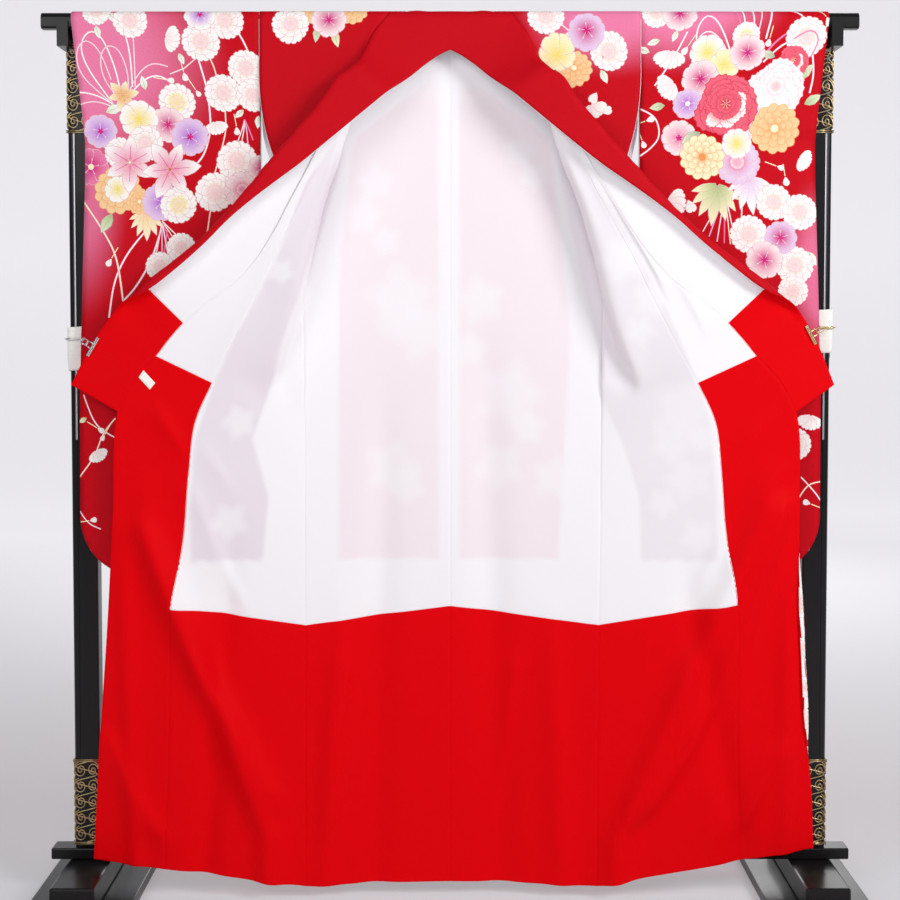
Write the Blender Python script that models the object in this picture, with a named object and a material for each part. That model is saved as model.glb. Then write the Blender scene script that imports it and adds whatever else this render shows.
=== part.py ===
"""A long-sleeved furisode, opened over the bar of a lacquered kimono stand.

Local places are (out, fore, height) in metres: out from the middle of the stand, fore from the
bar towards the viewer, height above the floor. The left side lies at -X and the front at -Y.
"""
import math

import bmesh
import bpy
import numpy as np
from mathutils import Vector

MM = 0.001

# Cloth: the outer cloth and the lining lie on either side of one shared surface.
SEAM_GAP = 0.3 * MM
CLOTH = 1.2 * MM
LINING = 1.0 * MM
HALF_GAP = SEAM_GAP / 2

# Stand
BAR_RADIUS = 12.4 * MM
BAR_CLEARANCE = 0.9 * MM
BAR_CENTRE_HEIGHT = 1.605
BAR_UNDERSIDE = 1.588
BAR_HALF_LENGTH = 0.735
BAR_Y = -0.0335
POST_OUT = 0.667
POST_WIDTH = 0.036
POST_DEPTH = 0.032
POST_TOP = 1.604
BOARD_INNER, BOARD_OUTER = 0.570, 0.756
BOARD_HALF_LENGTH = 0.220
BOARD_TOP = 0.020
BEAM_INNER, BEAM_OUTER = 0.627, 0.707
BEAM_HALF_LENGTH = 0.165
BEAM_TOP = 0.064
RAIL_HALF_LENGTH = 0.740
RAIL_DEPTH = 0.042
RAIL_TOP = 0.085
WRAP_HEIGHT = 0.082
WRAP_CENTRE_HEIGHT = 1.005
WRAP_THICKNESS = 4 * MM

# Furisode
CLOTH_RADIUS = BAR_RADIUS + BAR_CLEARANCE + LINING + HALF_GAP
OVER_BAR = CLOTH_RADIUS * math.pi / 2
SHOULDER_OUT = 0.342
NECK_OUT = 0.102
NECK_BACK_OUT = 0.078
NECK_BACK_ANGLE = math.radians(78)
COLLAR_WIDTH = 0.110
COLLAR_FOLD_RADIUS = 8 * MM
SLEEVE_WALL = 1.7 * MM
SLEEVE_BOTTOM = 0.595
SLEEVE_CORNER = 0.110
WRIST_HEIGHT = 1.396

# Stations down the front, as distance along the cloth from the shoulder line.
HANGING = (0.047, 0.080, 0.120, 0.161, 0.220, 0.286, 0.347, 0.392, 0.450, 0.505, 0.576, 0.639,
           0.692, 0.731, 0.770, 0.830, 0.893, 1.000, 1.110, 1.230, 1.350, 1.480, 1.600)
OKUMI_TOP = 0.286
COLLAR_LINING_TOP = 0.161
COLLAR_STEP = 0.692
ROLL_TOP = 0.161
COLLAR_FLAT = 0.770
OKUMI_STEP = 0.770
COLLAR_END = 0.893
BODY_STEP = 1.110

# Each rail below has the columns down, out, fore, height, in millimetres.
FRONT_SIDE = ((47, 342, 15, 1582), (161, 340, 16, 1458), (220, 330, 16, 1400),
              (286, 312, 15, 1343), (392, 278, 10, 1229), (450, 270, 8, 1170), (505, 267, 8, 1115),
              (692, 265, 9, 928), (893, 264, 11, 728), (1110, 263, 14, 508), (1350, 264, 16, 287),
              (1600, 264, 18, 26))
BACK_SIDE = ((47, 342, -14, 1582), (161, 341, -13, 1458), (220, 338, -10, 1400),
             (286, 322, -6, 1343), (392, 283, 2, 1229), (450, 270, 6, 1170), (505, 267, 6, 1115),
             (576, 266, 7, 1044), (692, 265, 8, 928), (893, 264, 11, 728), (1110, 263, 14, 508), (1350, 264, 16, 287),
             (1600, 264, 18, 26))
OKUMI_SEAM = ((286, 231, 54, 1366), (347, 247, 57, 1313), (392, 266, 60, 1272),
              (505, 316, 60, 1168), (576, 343, 57, 1111), (639, 371, 54, 1056),
              (692, 395, 50, 1009), (770, 426, 45, 952), (830, 458, 42, 880), (893, 469, 40, 800),
              (1000, 481, 36, 675), (1110, 502, 32, 545), (1350, 511, 30, 315), (1600, 521, 28, 61))
FREE_EDGE = ((47, 134, 18.6, 1584), (80, 154, 26.5, 1543), (120, 166, 36, 1510), (161, 178, 42, 1478),
             (220, 205, 50, 1424), (286, 235, 55, 1368), (347, 262, 59, 1314),
             (392, 283, 62, 1275), (505, 339, 60, 1180), (576, 386, 58, 1129),
             (639, 436, 56, 1093), (692, 476, 52, 1059), (770, 526, 46, 1000), (893, 596, 42, 900),
             (1000, 607, 38, 720), (1110, 617, 35, 557), (1350, 634, 32, 330), (1600, 650, 30, 81))
COLLAR_FOLD = ((80, 166, 37, 1558), (120, 181, 45, 1532), (161, 197, 52, 1499),
               (286, 265, 66, 1409), (347, 302, 70, 1365), (392, 328, 72, 1334),
               (505, 396, 70, 1254), (576, 445, 68, 1205), (639, 494, 65, 1166),
               (692, 545, 59, 1127), (770, 610, 38, 1068), (830, 640, 34, 1020),
               (893, 681, 34, 948))
COLLAR_TIP = ((-102, 0, 16, 1549), (-50, 20, 18, 1539), (0, 45, 23, 1521), (47, 71, 31, 1499),
              (80, 90, 44, 1484), (120, 112, 56, 1468), (161, 133, 62, 1450), (286, 222, 76, 1375),
              (347, 268, 80, 1337), (392, 302, 82, 1312), (505, 386, 80, 1246),
              (576, 436, 78, 1197), (639, 485, 75, 1155), (692, 534, 69, 1119))
# How far the collar is folded over, and how far from its seam the fold begins: down, degrees, mm.
COLLAR_TURN = ((47, 35, 3), (80, 80, 4), (120, 130, 10), (161, 180, 20))
# How far the front turns up towards the collar seam there: down, degrees, radius, run in mm.
FRONT_TURN = ((47, 35, 7, 4), (80, 80, 8, 5), (120, 130, 9.5, 6))
# How far the front's side edge stays clear of the side seam, in mm, by distance down.
SIDE_OPENING = ((0.40, 0.45, 0.505, 0.576, 0.70, 0.77, 0.85), (0.3, 2.6, 2.5, 3.6, 3.6, 2.4, 0.5))
# The front rolls over itself here: down, out at the roll, fore behind it, fore before it.
ROLL = ((161, 166, 17, 40), (220, 181, 18, 48),
        (286, 197, 20, 52), (347, 218, 20, 55), (392, 231, 20, 58), (505, 256, 20, 62),
        (576, 273, 18, 56), (639, 292, 16, 50), (692, 314, 16, 42))
# Middle of the back: down, out, fore, height.
BACK_MIDDLE = ((47, 0, -14, 1582), (161, 0, -13, 1468), (286, 0, -9, 1343), (505, 0, -5, 1125),
               (692, 0, -3, 940), (893, 0, -1, 740), (1110, 0, 1, 541), (1350, 0, 3, 287),
               (1600, 0, 4, 30))
# Soft folds: side, out and height at the upper end, out and height at the lower end, width, rise.
FOLDS = ((-1, 545, 760, 330, 60, 40, 11), (1, 600, 860, 350, 80, 42, 12),
         (-1, 120, 900, 140, 60, 35, -6), (1, 60, 1000, 90, 60, 38, -6),
         (-1, 400, 640, 450, 80, 32, -7), (1, 420, 560, 520, 90, 30, -7))
# The sleeve's outer edge: height, out.
SLEEVE_EDGE = ((1621, 682), (1584, 678), (1411, 660), (1317, 661), (1137, 668), (920, 675),
               (720, 676), (595, 676))
FRONT_COLUMNS = (0.0, 0.20, 0.40, 0.57, 0.71, 0.82, 0.90, 0.955, 1.0)
BACK_COLUMNS = (0.0, 0.118, 0.228, 0.2515, 0.275, 0.298, 0.52, 0.76, 1.0)
SLEEVE_COLUMNS = (0.0, 0.14, 0.31, 0.48, 0.65, 0.78, 0.885, 0.96, 1.0)
SLEEVE_ROWS = (0.0, 0.06, 0.14, 0.231, 0.33, 0.43, 0.53, 0.63, 0.73, 0.83, 0.91, 0.965, 1.0)

CRIMSON = (0.58, 0.012, 0.02)
BRIGHT_RED = (0.72, 0.010, 0.016)
WHITE_SILK = (0.86, 0.84, 0.86)
LACQUER = (0.010, 0.009, 0.010)
COTTON = (0.80, 0.79, 0.76)
STEEL = (0.62, 0.62, 0.60)
BRASS = (0.66, 0.50, 0.26)


def clear_scene():
    for item in list(bpy.data.objects):
        bpy.data.objects.remove(item, do_unlink=True)


def finish(name, colour, roughness, metallic=0.0):
    material = bpy.data.materials.new(name)
    material.use_nodes = True
    shader = material.node_tree.nodes["Principled BSDF"]
    shader.inputs["Base Color"].default_value = (*colour, 1.0)
    shader.inputs["Roughness"].default_value = roughness
    shader.inputs["Metallic"].default_value = metallic
    return material


def along(rail, down):
    """The point of a rail at a distance down the cloth, on a smooth curve through its rows."""
    rows = np.array(rail, float) * MM
    knots, values = rows[:, 0], rows[:, 1:]
    down = min(max(down, knots[0]), knots[-1])
    slopes = np.gradient(values, knots, axis=0)
    k = min(int(np.searchsorted(knots, down, side="right")) - 1, len(knots) - 2)
    step = knots[k + 1] - knots[k]
    t = (down - knots[k]) / step
    return ((2 * t**3 - 3 * t**2 + 1) * values[k] + (t**3 - 2 * t**2 + t) * step * slopes[k]
            + (3 * t**2 - 2 * t**3) * values[k + 1] + (t**3 - t**2) * step * slopes[k + 1])


def over_bar(out, angle):
    """A place on the cloth over the bar: angle 0 on top, positive in front, negative behind."""
    return np.array((out, CLOTH_RADIUS * math.sin(angle),
                     BAR_CENTRE_HEIGHT + CLOTH_RADIUS * math.cos(angle)))


def rounded(corners, rounds=4):
    """An open line through the corners with each inner corner cut round and the ends kept."""
    line = np.array(corners, float)
    for _ in range(rounds):
        near = 0.75 * line[:-1] + 0.25 * line[1:]
        far = 0.25 * line[:-1] + 0.75 * line[1:]
        cut = np.stack((near, far), axis=1).reshape(-1, 3)
        line = np.vstack((line[:1], cut[1:-1], line[-1:]))
    return line


def measured(line, shares, start=0.0, end=0.0):
    """Points at the given shares of a line's length, which is shortened at its two ends."""
    runs = np.concatenate(([0.0], np.cumsum(np.linalg.norm(np.diff(line, axis=0), axis=1))))
    at = start + np.array(shares) * (runs[-1] - start - end)
    return np.stack([np.interp(at, runs, line[:, axis]) for axis in range(3)], axis=1)


def fold_rise(side, points):
    """How far the soft folds lift the cloth at each point."""
    rise = np.zeros(points.shape[:-1])
    out, height = points[..., 0], points[..., 2]
    for fold_side, out_1, height_1, out_2, height_2, width, lift in FOLDS:
        if fold_side != side:
            continue
        share = np.clip((height_1 * MM - height) / ((height_1 - height_2) * MM), 0.0, 1.0)
        middle = (out_1 + (out_2 - out_1) * share) * MM
        fade = np.clip((height_1 * MM + 0.10 - height) / 0.20, 0.0, 1.0)
        rise += lift * MM * fade * np.exp(-((out - middle) / (width * MM)) ** 2)
    return rise


def placed(side, points):
    """World places of local ones; the right side reaches a little further out and higher."""
    points = np.array(points, float)
    out, fore, height = points[..., 0], points[..., 1], points[..., 2]
    if side > 0:
        upper = np.clip((1.38 - height) / 0.20, 0.0, 1.0)
        lower = np.clip((0.90 - height) / 0.80, 0.0, 1.0)
        out = out * (1.0 + 0.042 * upper - 0.022 * lower)
        height = height + 0.020 * lower * np.clip((out - 0.25) / 0.40, 0.0, 1.0)
    return np.stack((side * out, BAR_Y - fore, height), axis=-1)


def tangents(grid):
    """Unit directions down a grid's first axis, halfway between the stretches that meet."""
    stretch = np.diff(grid, axis=0)
    stretch /= np.linalg.norm(stretch, axis=2, keepdims=True)
    between = stretch[:-1] + stretch[1:]
    between /= np.linalg.norm(between, axis=2, keepdims=True)
    first = 2.0 * stretch[:1] - between[:1]
    last = 2.0 * stretch[-1:] - between[-1:]
    return np.concatenate((first, between, last), axis=0)


def normals(grid):
    """Unit normals of a grid of points, towards the garment's outside."""
    across = tangents(grid.transpose(1, 0, 2)).transpose(1, 0, 2)
    normal = np.cross(tangents(grid), across)
    return normal / np.linalg.norm(normal, axis=2, keepdims=True)


def grid_triangles(rows, columns, mirrored_from=None):
    """Triangles of a grid of points; from one row on, the squares are split the other way."""
    triangles = []
    for row in range(rows - 1):
        mirrored = mirrored_from is not None and row >= mirrored_from
        for column in range(columns - 1):
            a = row * columns + column
            b, c, d = a + 1, a + columns + 1, a + columns
            triangles += [(a, b, d), (b, c, d)] if mirrored else [(a, b, c), (a, c, d)]
    return triangles


def cloth_wall(name, first, second, triangles, material):
    """One closed wall between two matching skins, rimmed along their open edges."""
    mesh = bmesh.new()
    skins = [[mesh.verts.new(point) for point in skin.reshape(-1, 3)] for skin in (first, second)]
    edges = {}
    for corners in triangles:
        mesh.faces.new([skins[0][k] for k in corners])
        mesh.faces.new([skins[1][k] for k in reversed(corners)])
        for k in range(3):
            edge = (corners[k], corners[(k + 1) % 3])
            edges[tuple(sorted(edge))] = None if tuple(sorted(edge)) in edges else edge
    for edge in edges.values():
        if edge:
            a, b = edge
            mesh.faces.new((skins[0][b], skins[0][a], skins[1][a]))
            mesh.faces.new((skins[0][b], skins[1][a], skins[1][b]))
    loose = [vertex for vertex in mesh.verts if not vertex.link_faces]
    bmesh.ops.delete(mesh, geom=loose, context="VERTS")
    return as_object(name, mesh, material, math.radians(40))


def as_object(name, mesh, material, sharp_angle):
    mesh.normal_update()
    bmesh.ops.recalc_face_normals(mesh, faces=mesh.faces)
    data = bpy.data.meshes.new(name)
    mesh.to_mesh(data)
    mesh.free()
    data.shade_smooth()
    data.set_sharp_from_angle(angle=sharp_angle)
    data.materials.append(material)
    item = bpy.data.objects.new(name, data)
    bpy.context.scene.collection.objects.link(item)
    return item


def panel(name, side, grid, normal, near, far, material, mirrored_from=None):
    """A wall on a panel's surface, from one distance outside it to another."""
    skins = [placed(side, grid + normal * distance) for distance in (near, far)]
    triangles = grid_triangles(*grid.shape[:2], mirrored_from)
    cloth_wall(name, skins[0], skins[1], triangles, material)


def outer_and_lining(names, side, grid, step, materials):
    """The outer cloth of a panel and its lining, which changes from white to red at a row."""
    normal = normals(grid)
    panel(names[0], side, grid, normal, HALF_GAP, HALF_GAP + CLOTH, materials["outer"])
    upper = grid[:step + 1].copy()
    lower = grid[step:].copy()
    upper[-1] += (grid[step - 1] - grid[step]) * gap_share(grid, step, step - 1)
    lower[0] += (grid[step + 1] - grid[step]) * gap_share(grid, step, step + 1)
    panel(names[1], side, upper, normal[:step + 1], -HALF_GAP, -HALF_GAP - LINING,
          materials["white"])
    panel(names[2], side, lower, normal[step:], -HALF_GAP, -HALF_GAP - LINING,
          materials["red"])


def gap_share(grid, row, towards):
    """Half a seam gap, as a share of the way from one row to the next."""
    runs = np.linalg.norm(grid[towards] - grid[row], axis=1, keepdims=True)
    return HALF_GAP / runs


def front_section(down):
    """The front panel across one station, from its side edge round the roll to its seam."""
    side_edge = along(FRONT_SIDE, down)
    seam = along(OKUMI_SEAM if down >= OKUMI_TOP else FREE_EDGE, down)
    if down > COLLAR_STEP:
        return np.array((side_edge, seam))
    if down < ROLL_TOP:
        return turned_up(down, side_edge, seam)
    out, behind, before = along(ROLL, down)
    reach = before - behind
    heights = np.linspace(side_edge[2], seam[2], 6)
    corners = [side_edge,
               (min(out + reach, side_edge[0]), behind, heights[1]),
               (out, behind, heights[2]),
               (out, before, heights[3]),
               (max(min(out + reach, seam[0] - 5 * MM), out), before, heights[4]),
               seam]
    return rounded(corners)


def turned_up(down, side_edge, seam):
    """The front where it only begins to roll: flat, then turning up to the collar seam."""
    rows = np.array(FRONT_TURN, float)
    turn_to, radius, run = (np.interp(down / MM, rows[:, 0], rows[:, k]) for k in (1, 2, 3))
    turn_to = math.radians(turn_to)
    centre = seam + MM * np.array((run * math.cos(turn_to), -run * math.sin(turn_to), 0.0))
    line = []
    for turn in np.linspace(0.0, turn_to, 9):
        line.append(centre + radius * MM * np.array((
            math.sin(turn_to) - math.sin(turn), math.cos(turn_to) - math.cos(turn), 0.0)))
    return np.array([side_edge] + line + [seam])


def front_grid(side):
    rows = []
    for angle in np.linspace(0.0, math.pi / 2, 4):
        down = angle * CLOTH_RADIUS
        neck = NECK_OUT + (neck_at_front() - NECK_OUT) * down / OVER_BAR
        line = np.array((over_bar(SHOULDER_OUT, angle), over_bar(neck, angle)))
        rows.append(measured(line, FRONT_COLUMNS, end=HALF_GAP))
    for down in HANGING:
        opening = np.interp(down, *SIDE_OPENING) * MM
        rows.append(measured(front_section(down), FRONT_COLUMNS, start=opening, end=SEAM_GAP))
    grid = np.array(rows)
    grid[..., 1] += fold_rise(side, grid)
    return grid


def neck_at_front():
    """How far out the collar seam is where the cloth leaves the bar."""
    return NECK_OUT + (FREE_EDGE[0][1] * MM - NECK_OUT) * OVER_BAR / (FREE_EDGE[0][0] * MM)


def okumi_grid(side):
    rows = []
    for down in HANGING:
        if down < OKUMI_TOP:
            continue
        line = np.array((along(OKUMI_SEAM, down), along(FREE_EDGE, down)))
        edge = SEAM_GAP if down <= COLLAR_END else 0.0
        rows.append(measured(line, np.linspace(0.0, 1.0, 4), start=SEAM_GAP, end=edge))
    grid = np.array(rows)
    grid[..., 1] += fold_rise(side, grid)
    return grid


def back_grid(side):
    shares = np.array(BACK_COLUMNS)
    rows = []
    outs = HALF_GAP + shares * (SHOULDER_OUT - HALF_GAP)
    for share in np.linspace(0.0, 1.0, 4):
        row = []
        for out in outs:
            start = neckline_angle(out)
            row.append(over_bar(out, -(start + (math.pi / 2 - start) * share)))
        rows.append(np.array(row))
    for down in HANGING:
        edge = along(BACK_SIDE, down)
        middle = along(BACK_MIDDLE, down)
        row = []
        for share in shares:
            point = middle + (edge - middle) * share
            point[1] = middle[1] + (edge[1] - middle[1]) * share ** 2
            point[0] = HALF_GAP + share * (edge[0] - 2 * HALF_GAP)
            row.append(point)
        rows.append(np.array(row))
    grid = np.array(rows)
    grid[..., 1] += fold_rise(side, grid)
    return grid


def neckline_angle(out):
    """Where the back begins over the bar: behind it under the collar, on top at the shoulder."""
    share = (NECK_OUT - out) / (NECK_OUT - NECK_BACK_OUT)
    return SEAM_GAP / CLOTH_RADIUS + NECK_BACK_ANGLE * min(max(share, 0.0), 1.0)


def collar_section(down):
    """The collar across one station, from its seam round its fold to its free edge."""
    tip = along(COLLAR_TIP, down)
    if down <= OVER_BAR:
        if down <= 0.0:
            seam_out = NECK_OUT + down
            angle = SEAM_GAP / CLOTH_RADIUS - neckline_angle(seam_out)
        else:
            seam_out = NECK_OUT + (neck_at_front() - NECK_OUT) * down / OVER_BAR
            angle = down / CLOTH_RADIUS
        drift = 0.12 * (seam_out - tip[0])
        turns = np.linspace(angle, math.pi / 2, 7)
        line = [over_bar(seam_out - drift * k / 6, turn) for k, turn in enumerate(turns)]
        return np.array(line + [tip])
    seam = along(FREE_EDGE, down)
    if down < ROLL_TOP:
        return opening_fold(down, seam, tip)
    fold = along(COLLAR_FOLD, down)
    share = (COLLAR_FLAT - down) / (COLLAR_FLAT - COLLAR_STEP)
    if share <= 0.0:
        return np.array((seam, fold))
    turn_to = math.pi * min(share, 1.0)
    outward = (fold - seam) * (1.0, 0.0, 1.0)
    outward /= np.linalg.norm(outward)
    fore = np.array((0.0, 1.0, 0.0))
    centre = fold - COLLAR_FOLD_RADIUS * outward
    line = [seam]
    for turn in np.linspace(0.0, turn_to, 9):
        line.append(centre + COLLAR_FOLD_RADIUS * (outward * math.sin(turn)
                                                   - fore * math.cos(turn)))
    if share < 1.0:
        tip = line[-1] + 8 * MM * (outward * math.cos(turn_to) + fore * math.sin(turn_to))
    return np.array(line + [tip])


def opening_fold(down, seam, tip):
    """The collar's fold where it has not yet turned all the way over."""
    outward = (seam - tip) * (1.0, 0.0, 1.0)
    outward /= np.linalg.norm(outward)
    fore = np.array((0.0, 1.0, 0.0))
    rows = np.array(COLLAR_TURN, float)
    turn_to = math.radians(np.interp(down / MM, rows[:, 0], rows[:, 1]))
    first_run = np.interp(down / MM, rows[:, 0], rows[:, 2]) * MM
    start = seam + first_run * (fore * math.sin(turn_to) - outward * math.cos(turn_to))
    line = [seam]
    for turn in np.linspace(turn_to, 0.0, 9):
        line.append(start + COLLAR_FOLD_RADIUS * (
            fore * (math.cos(turn) - math.cos(turn_to))
            - outward * (math.sin(turn_to) - math.sin(turn))))
    return np.array(line + [tip])


def collar_shares(down, line):
    """Shares of the collar's width: close over the bar and round the fold, wide elsewhere."""
    runs = np.linalg.norm(np.diff(line, axis=0), axis=1)
    whole = runs.sum()
    if down >= COLLAR_FLAT:
        return np.array((0, 40, 82, 86, 90, 94, 98, 102, 106, 110)) / 110.0
    if down <= OVER_BAR:
        marks = list(np.linspace(0.0, max(whole - runs[-1], 0.030), 7))
    else:
        seam_part, turn = runs[0], runs[1:-1].sum()
        marks = [0.0, seam_part / 2] + [seam_part + turn * k / 4 for k in range(5)]
    last = whole - marks[-1]
    marks += [whole - last * 2 / 3, whole - last / 3, whole]
    return np.array(marks) / whole


def collar_stations():
    back = [-NECK_OUT, -0.065, -0.024, -0.016, -0.008]
    bar = [OVER_BAR * k / 3 for k in range(1, 4)]
    return back + [0.0] + bar + [down for down in HANGING if down <= COLLAR_END]


def collar_grid(stations):
    rows = []
    for down in stations:
        line = collar_section(down)
        rows.append(measured(line, collar_shares(down, line), start=HALF_GAP * 1.5))
    return np.array(rows)


def make_collar(materials):
    """The collar is one long strip round the neck; its lining shows from the chest down."""
    stations = collar_stations()
    half = collar_grid(stations)
    outside = normals(half)
    skins = []
    for distance in (HALF_GAP, HALF_GAP + CLOTH):
        skin = half + outside * distance
        left, right = placed(-1, skin[::-1]), placed(1, skin[1:])
        left[-1, :, 0] = 0.0
        skins.append(np.concatenate((left, right), axis=0))
    triangles = grid_triangles(*skins[0].shape[:2], len(stations) - 1)
    cloth_wall("collar", skins[0], skins[1], triangles, materials["outer"])
    top = stations.index(COLLAR_LINING_TOP)
    step = stations.index(COLLAR_STEP)
    for side, word in ((-1, "left"), (1, "right")):
        for name, first, last, material in (
                ("collar_lining_" + word, top, step, materials["white"]),
                ("collar_tip_lining_" + word, step, len(stations) - 1, materials["red"])):
            part = half[first:last + 1].copy()
            shift = HALF_GAP if first == step else -HALF_GAP
            row, other = (0, 1) if first == step else (-1, -2)
            run = np.linalg.norm(part[other] - part[row], axis=1, keepdims=True)
            part[row] += (part[other] - part[row]) * abs(shift) / run
            order = slice(None, None, side)
            panel(name, side, part[order], outside[first:last + 1][order], -HALF_GAP,
                  -HALF_GAP - LINING, material, 0 if side > 0 else None)


def make_body(side, word, materials):
    front = front_grid(side)
    arc_rows = front.shape[0] - len(HANGING)
    step = arc_rows + HANGING.index(BODY_STEP)
    outer_and_lining(("front_" + word, "front_lining_" + word, "front_hem_lining_" + word), side,
                     front, step, materials)
    okumi = okumi_grid(side)
    first = HANGING.index(OKUMI_TOP)
    outer_and_lining(("okumi_" + word, "okumi_lining_" + word, "okumi_hem_lining_" + word), side,
                     okumi, HANGING.index(OKUMI_STEP) - first, materials)
    back = back_grid(side)
    outer_and_lining(("back_" + word, "back_lining_" + word, "back_hem_lining_" + word), side,
                     back, step, materials)
    return okumi


def sleeve_edge(height):
    rows = np.array(SLEEVE_EDGE, float)[::-1] * MM
    return float(np.interp(height, rows[:, 0], rows[:, 1]))


def sleeve_bottom(share):
    """The sleeve's lower edge, which turns up round the outer corner."""
    edge = sleeve_edge(SLEEVE_BOTTOM)
    out = SHOULDER_OUT + share * (edge - SHOULDER_OUT)
    into = max(out - (edge - SLEEVE_CORNER), 0.0)
    return SLEEVE_BOTTOM + SLEEVE_CORNER - math.sqrt(max(SLEEVE_CORNER**2 - into**2, 0.0))


def sleeve_wave(share, height):
    fade = np.clip((1.42 - height) / 0.35, 0.0, 1.0)
    return 2.6 * MM * fade * math.sin(2 * math.pi * (2.3 * share + 0.35 * height))


def sleeve_ring(side, share, inset):
    """One closed ring of the sleeve: up the front, over the bar and down the back."""
    bottom = sleeve_bottom(share)
    radius = BAR_RADIUS + BAR_CLEARANCE + SLEEVE_WALL - inset
    layers = {}
    for face in (1, -1):
        line = []
        for drop in SLEEVE_ROWS:
            height = BAR_CENTRE_HEIGHT + (bottom - BAR_CENTRE_HEIGHT) * drop
            spread = np.interp(height - bottom, (0.0, 0.03, 0.12, 0.45), (4.6, 6.0, 8.5, 9.5)) * MM
            top = BAR_RADIUS + BAR_CLEARANCE + SLEEVE_WALL
            near_bar = np.clip((height - 1.38) / 0.20, 0.0, 1.0)
            fore = face * (spread * (1 - near_bar) + top * near_bar)
            if share > 0.9:
                pinch = (share - 0.9) / 0.1 * np.clip((WRIST_HEIGHT + 0.03 - height) / 0.06, 0, 1)
                fore *= 1.0 - 0.25 * pinch
            fore += sleeve_wave(share, height) * (1 if side < 0 else -1)
            if drop == SLEEVE_ROWS[-1]:
                height += inset
            out = SHOULDER_OUT + SEAM_GAP + share * (sleeve_edge(height) - SHOULDER_OUT
                                                     - SEAM_GAP)
            line.append(np.array((out, fore - face * inset, height)))
        layers[face] = line
    out_top = layers[1][0][0]
    ring = list(reversed(layers[1]))
    for turn in np.linspace(math.pi / 2, -math.pi / 2, 7)[1:-1]:
        ring.append(np.array((out_top, radius * math.sin(turn),
                              BAR_CENTRE_HEIGHT + radius * math.cos(turn))))
    return ring + layers[-1]


def make_sleeve(side, word, material):
    """A sleeve is one folded length: open down its inner edge and at the wrist."""
    skins = []
    for inset in (0.0, SLEEVE_WALL):
        rings = [sleeve_ring(side, share, inset) for share in SLEEVE_COLUMNS]
        grid = np.array(rings)
        count = grid.shape[1]
        layer = len(SLEEVE_ROWS)
        wrist = layer - 1 - SLEEVE_ROWS.index(0.231)
        for k in list(range(wrist + 1)) + list(range(count - 1 - wrist, count)):
            grid[-1, k, 0] -= inset
        skins.append(placed_plain(side, grid))
    columns, count = grid.shape[:2]
    triangles = []
    for column in range(columns - 1):
        for k in range(count):
            a, b = column * count + k, column * count + (k + 1) % count
            c, d = b + count, a + count
            triangles += [(a, b, c), (a, c, d)]
    base = (columns - 1) * count
    for k in range(wrist):
        a, b = base + k, base + k + 1
        c, d = base + count - 1 - k - 1, base + count - 1 - k
        triangles += [(a, b, c), (a, c, d)]
    cloth_wall("sleeve_" + word, skins[0], skins[1], triangles, material)


def placed_plain(side, points):
    """World places of local ones, with nothing moved further out."""
    return np.stack((side * points[..., 0], BAR_Y - points[..., 1], points[..., 2]), axis=-1)


def block(name, low, high, material, bevel):
    """A board or post between two corners, with its edges eased."""
    mesh = bmesh.new()
    bmesh.ops.create_cube(mesh, size=1.0)
    size = [b - a for a, b in zip(low, high)]
    bmesh.ops.scale(mesh, vec=size, verts=mesh.verts)
    middle = [(a + b) / 2 for a, b in zip(low, high)]
    bmesh.ops.translate(mesh, vec=middle, verts=mesh.verts)
    bmesh.ops.bevel(mesh, geom=list(mesh.edges), offset=bevel, segments=2, profile=0.5,
                    affect="EDGES", material=-1)
    return as_object(name, mesh, material, math.radians(50))


def extruded(name, outline, x_low, x_high, material):
    """A profile of (fore, height) points, extruded along X."""
    mesh = bmesh.new()
    face = mesh.faces.new([mesh.verts.new((x_low, BAR_Y - fore, height))
                           for fore, height in outline])
    moved = bmesh.ops.extrude_face_region(mesh, geom=[face])
    verts = [part for part in moved["geom"] if isinstance(part, bmesh.types.BMVert)]
    bmesh.ops.translate(mesh, vec=(x_high - x_low, 0.0, 0.0), verts=verts)
    return as_object(name, mesh, material, math.radians(30))


def make_top_bar(material):
    top = [(BAR_RADIUS * math.cos(turn), BAR_CENTRE_HEIGHT + BAR_RADIUS * math.sin(turn))
           for turn in np.linspace(0.0, math.pi, 13)]
    low = [(-BAR_RADIUS, BAR_UNDERSIDE + 4 * MM), (-BAR_RADIUS + 4 * MM, BAR_UNDERSIDE),
           (BAR_RADIUS - 4 * MM, BAR_UNDERSIDE), (BAR_RADIUS, BAR_UNDERSIDE + 4 * MM)]
    extruded("top_bar", top + low, -BAR_HALF_LENGTH, BAR_HALF_LENGTH, material)


def make_bar_rest(side, word, material):
    """A hook on the post's outer face, in which the bar lies."""
    clear = BAR_RADIUS + SEAM_GAP
    outline = [(-46 * MM, 1.556), (17 * MM, 1.556), (17 * MM, 1.600), (clear, 1.600),
               (clear, BAR_UNDERSIDE - SEAM_GAP), (-clear, BAR_UNDERSIDE - SEAM_GAP),
               (-clear, 1.603), (-46 * MM, 1.603)]
    near = POST_OUT + POST_WIDTH / 2 + SEAM_GAP
    ends = sorted((side * near, side * (near + 0.020)))
    extruded("bar_rest_" + word, outline, ends[0], ends[1], material)


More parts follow.
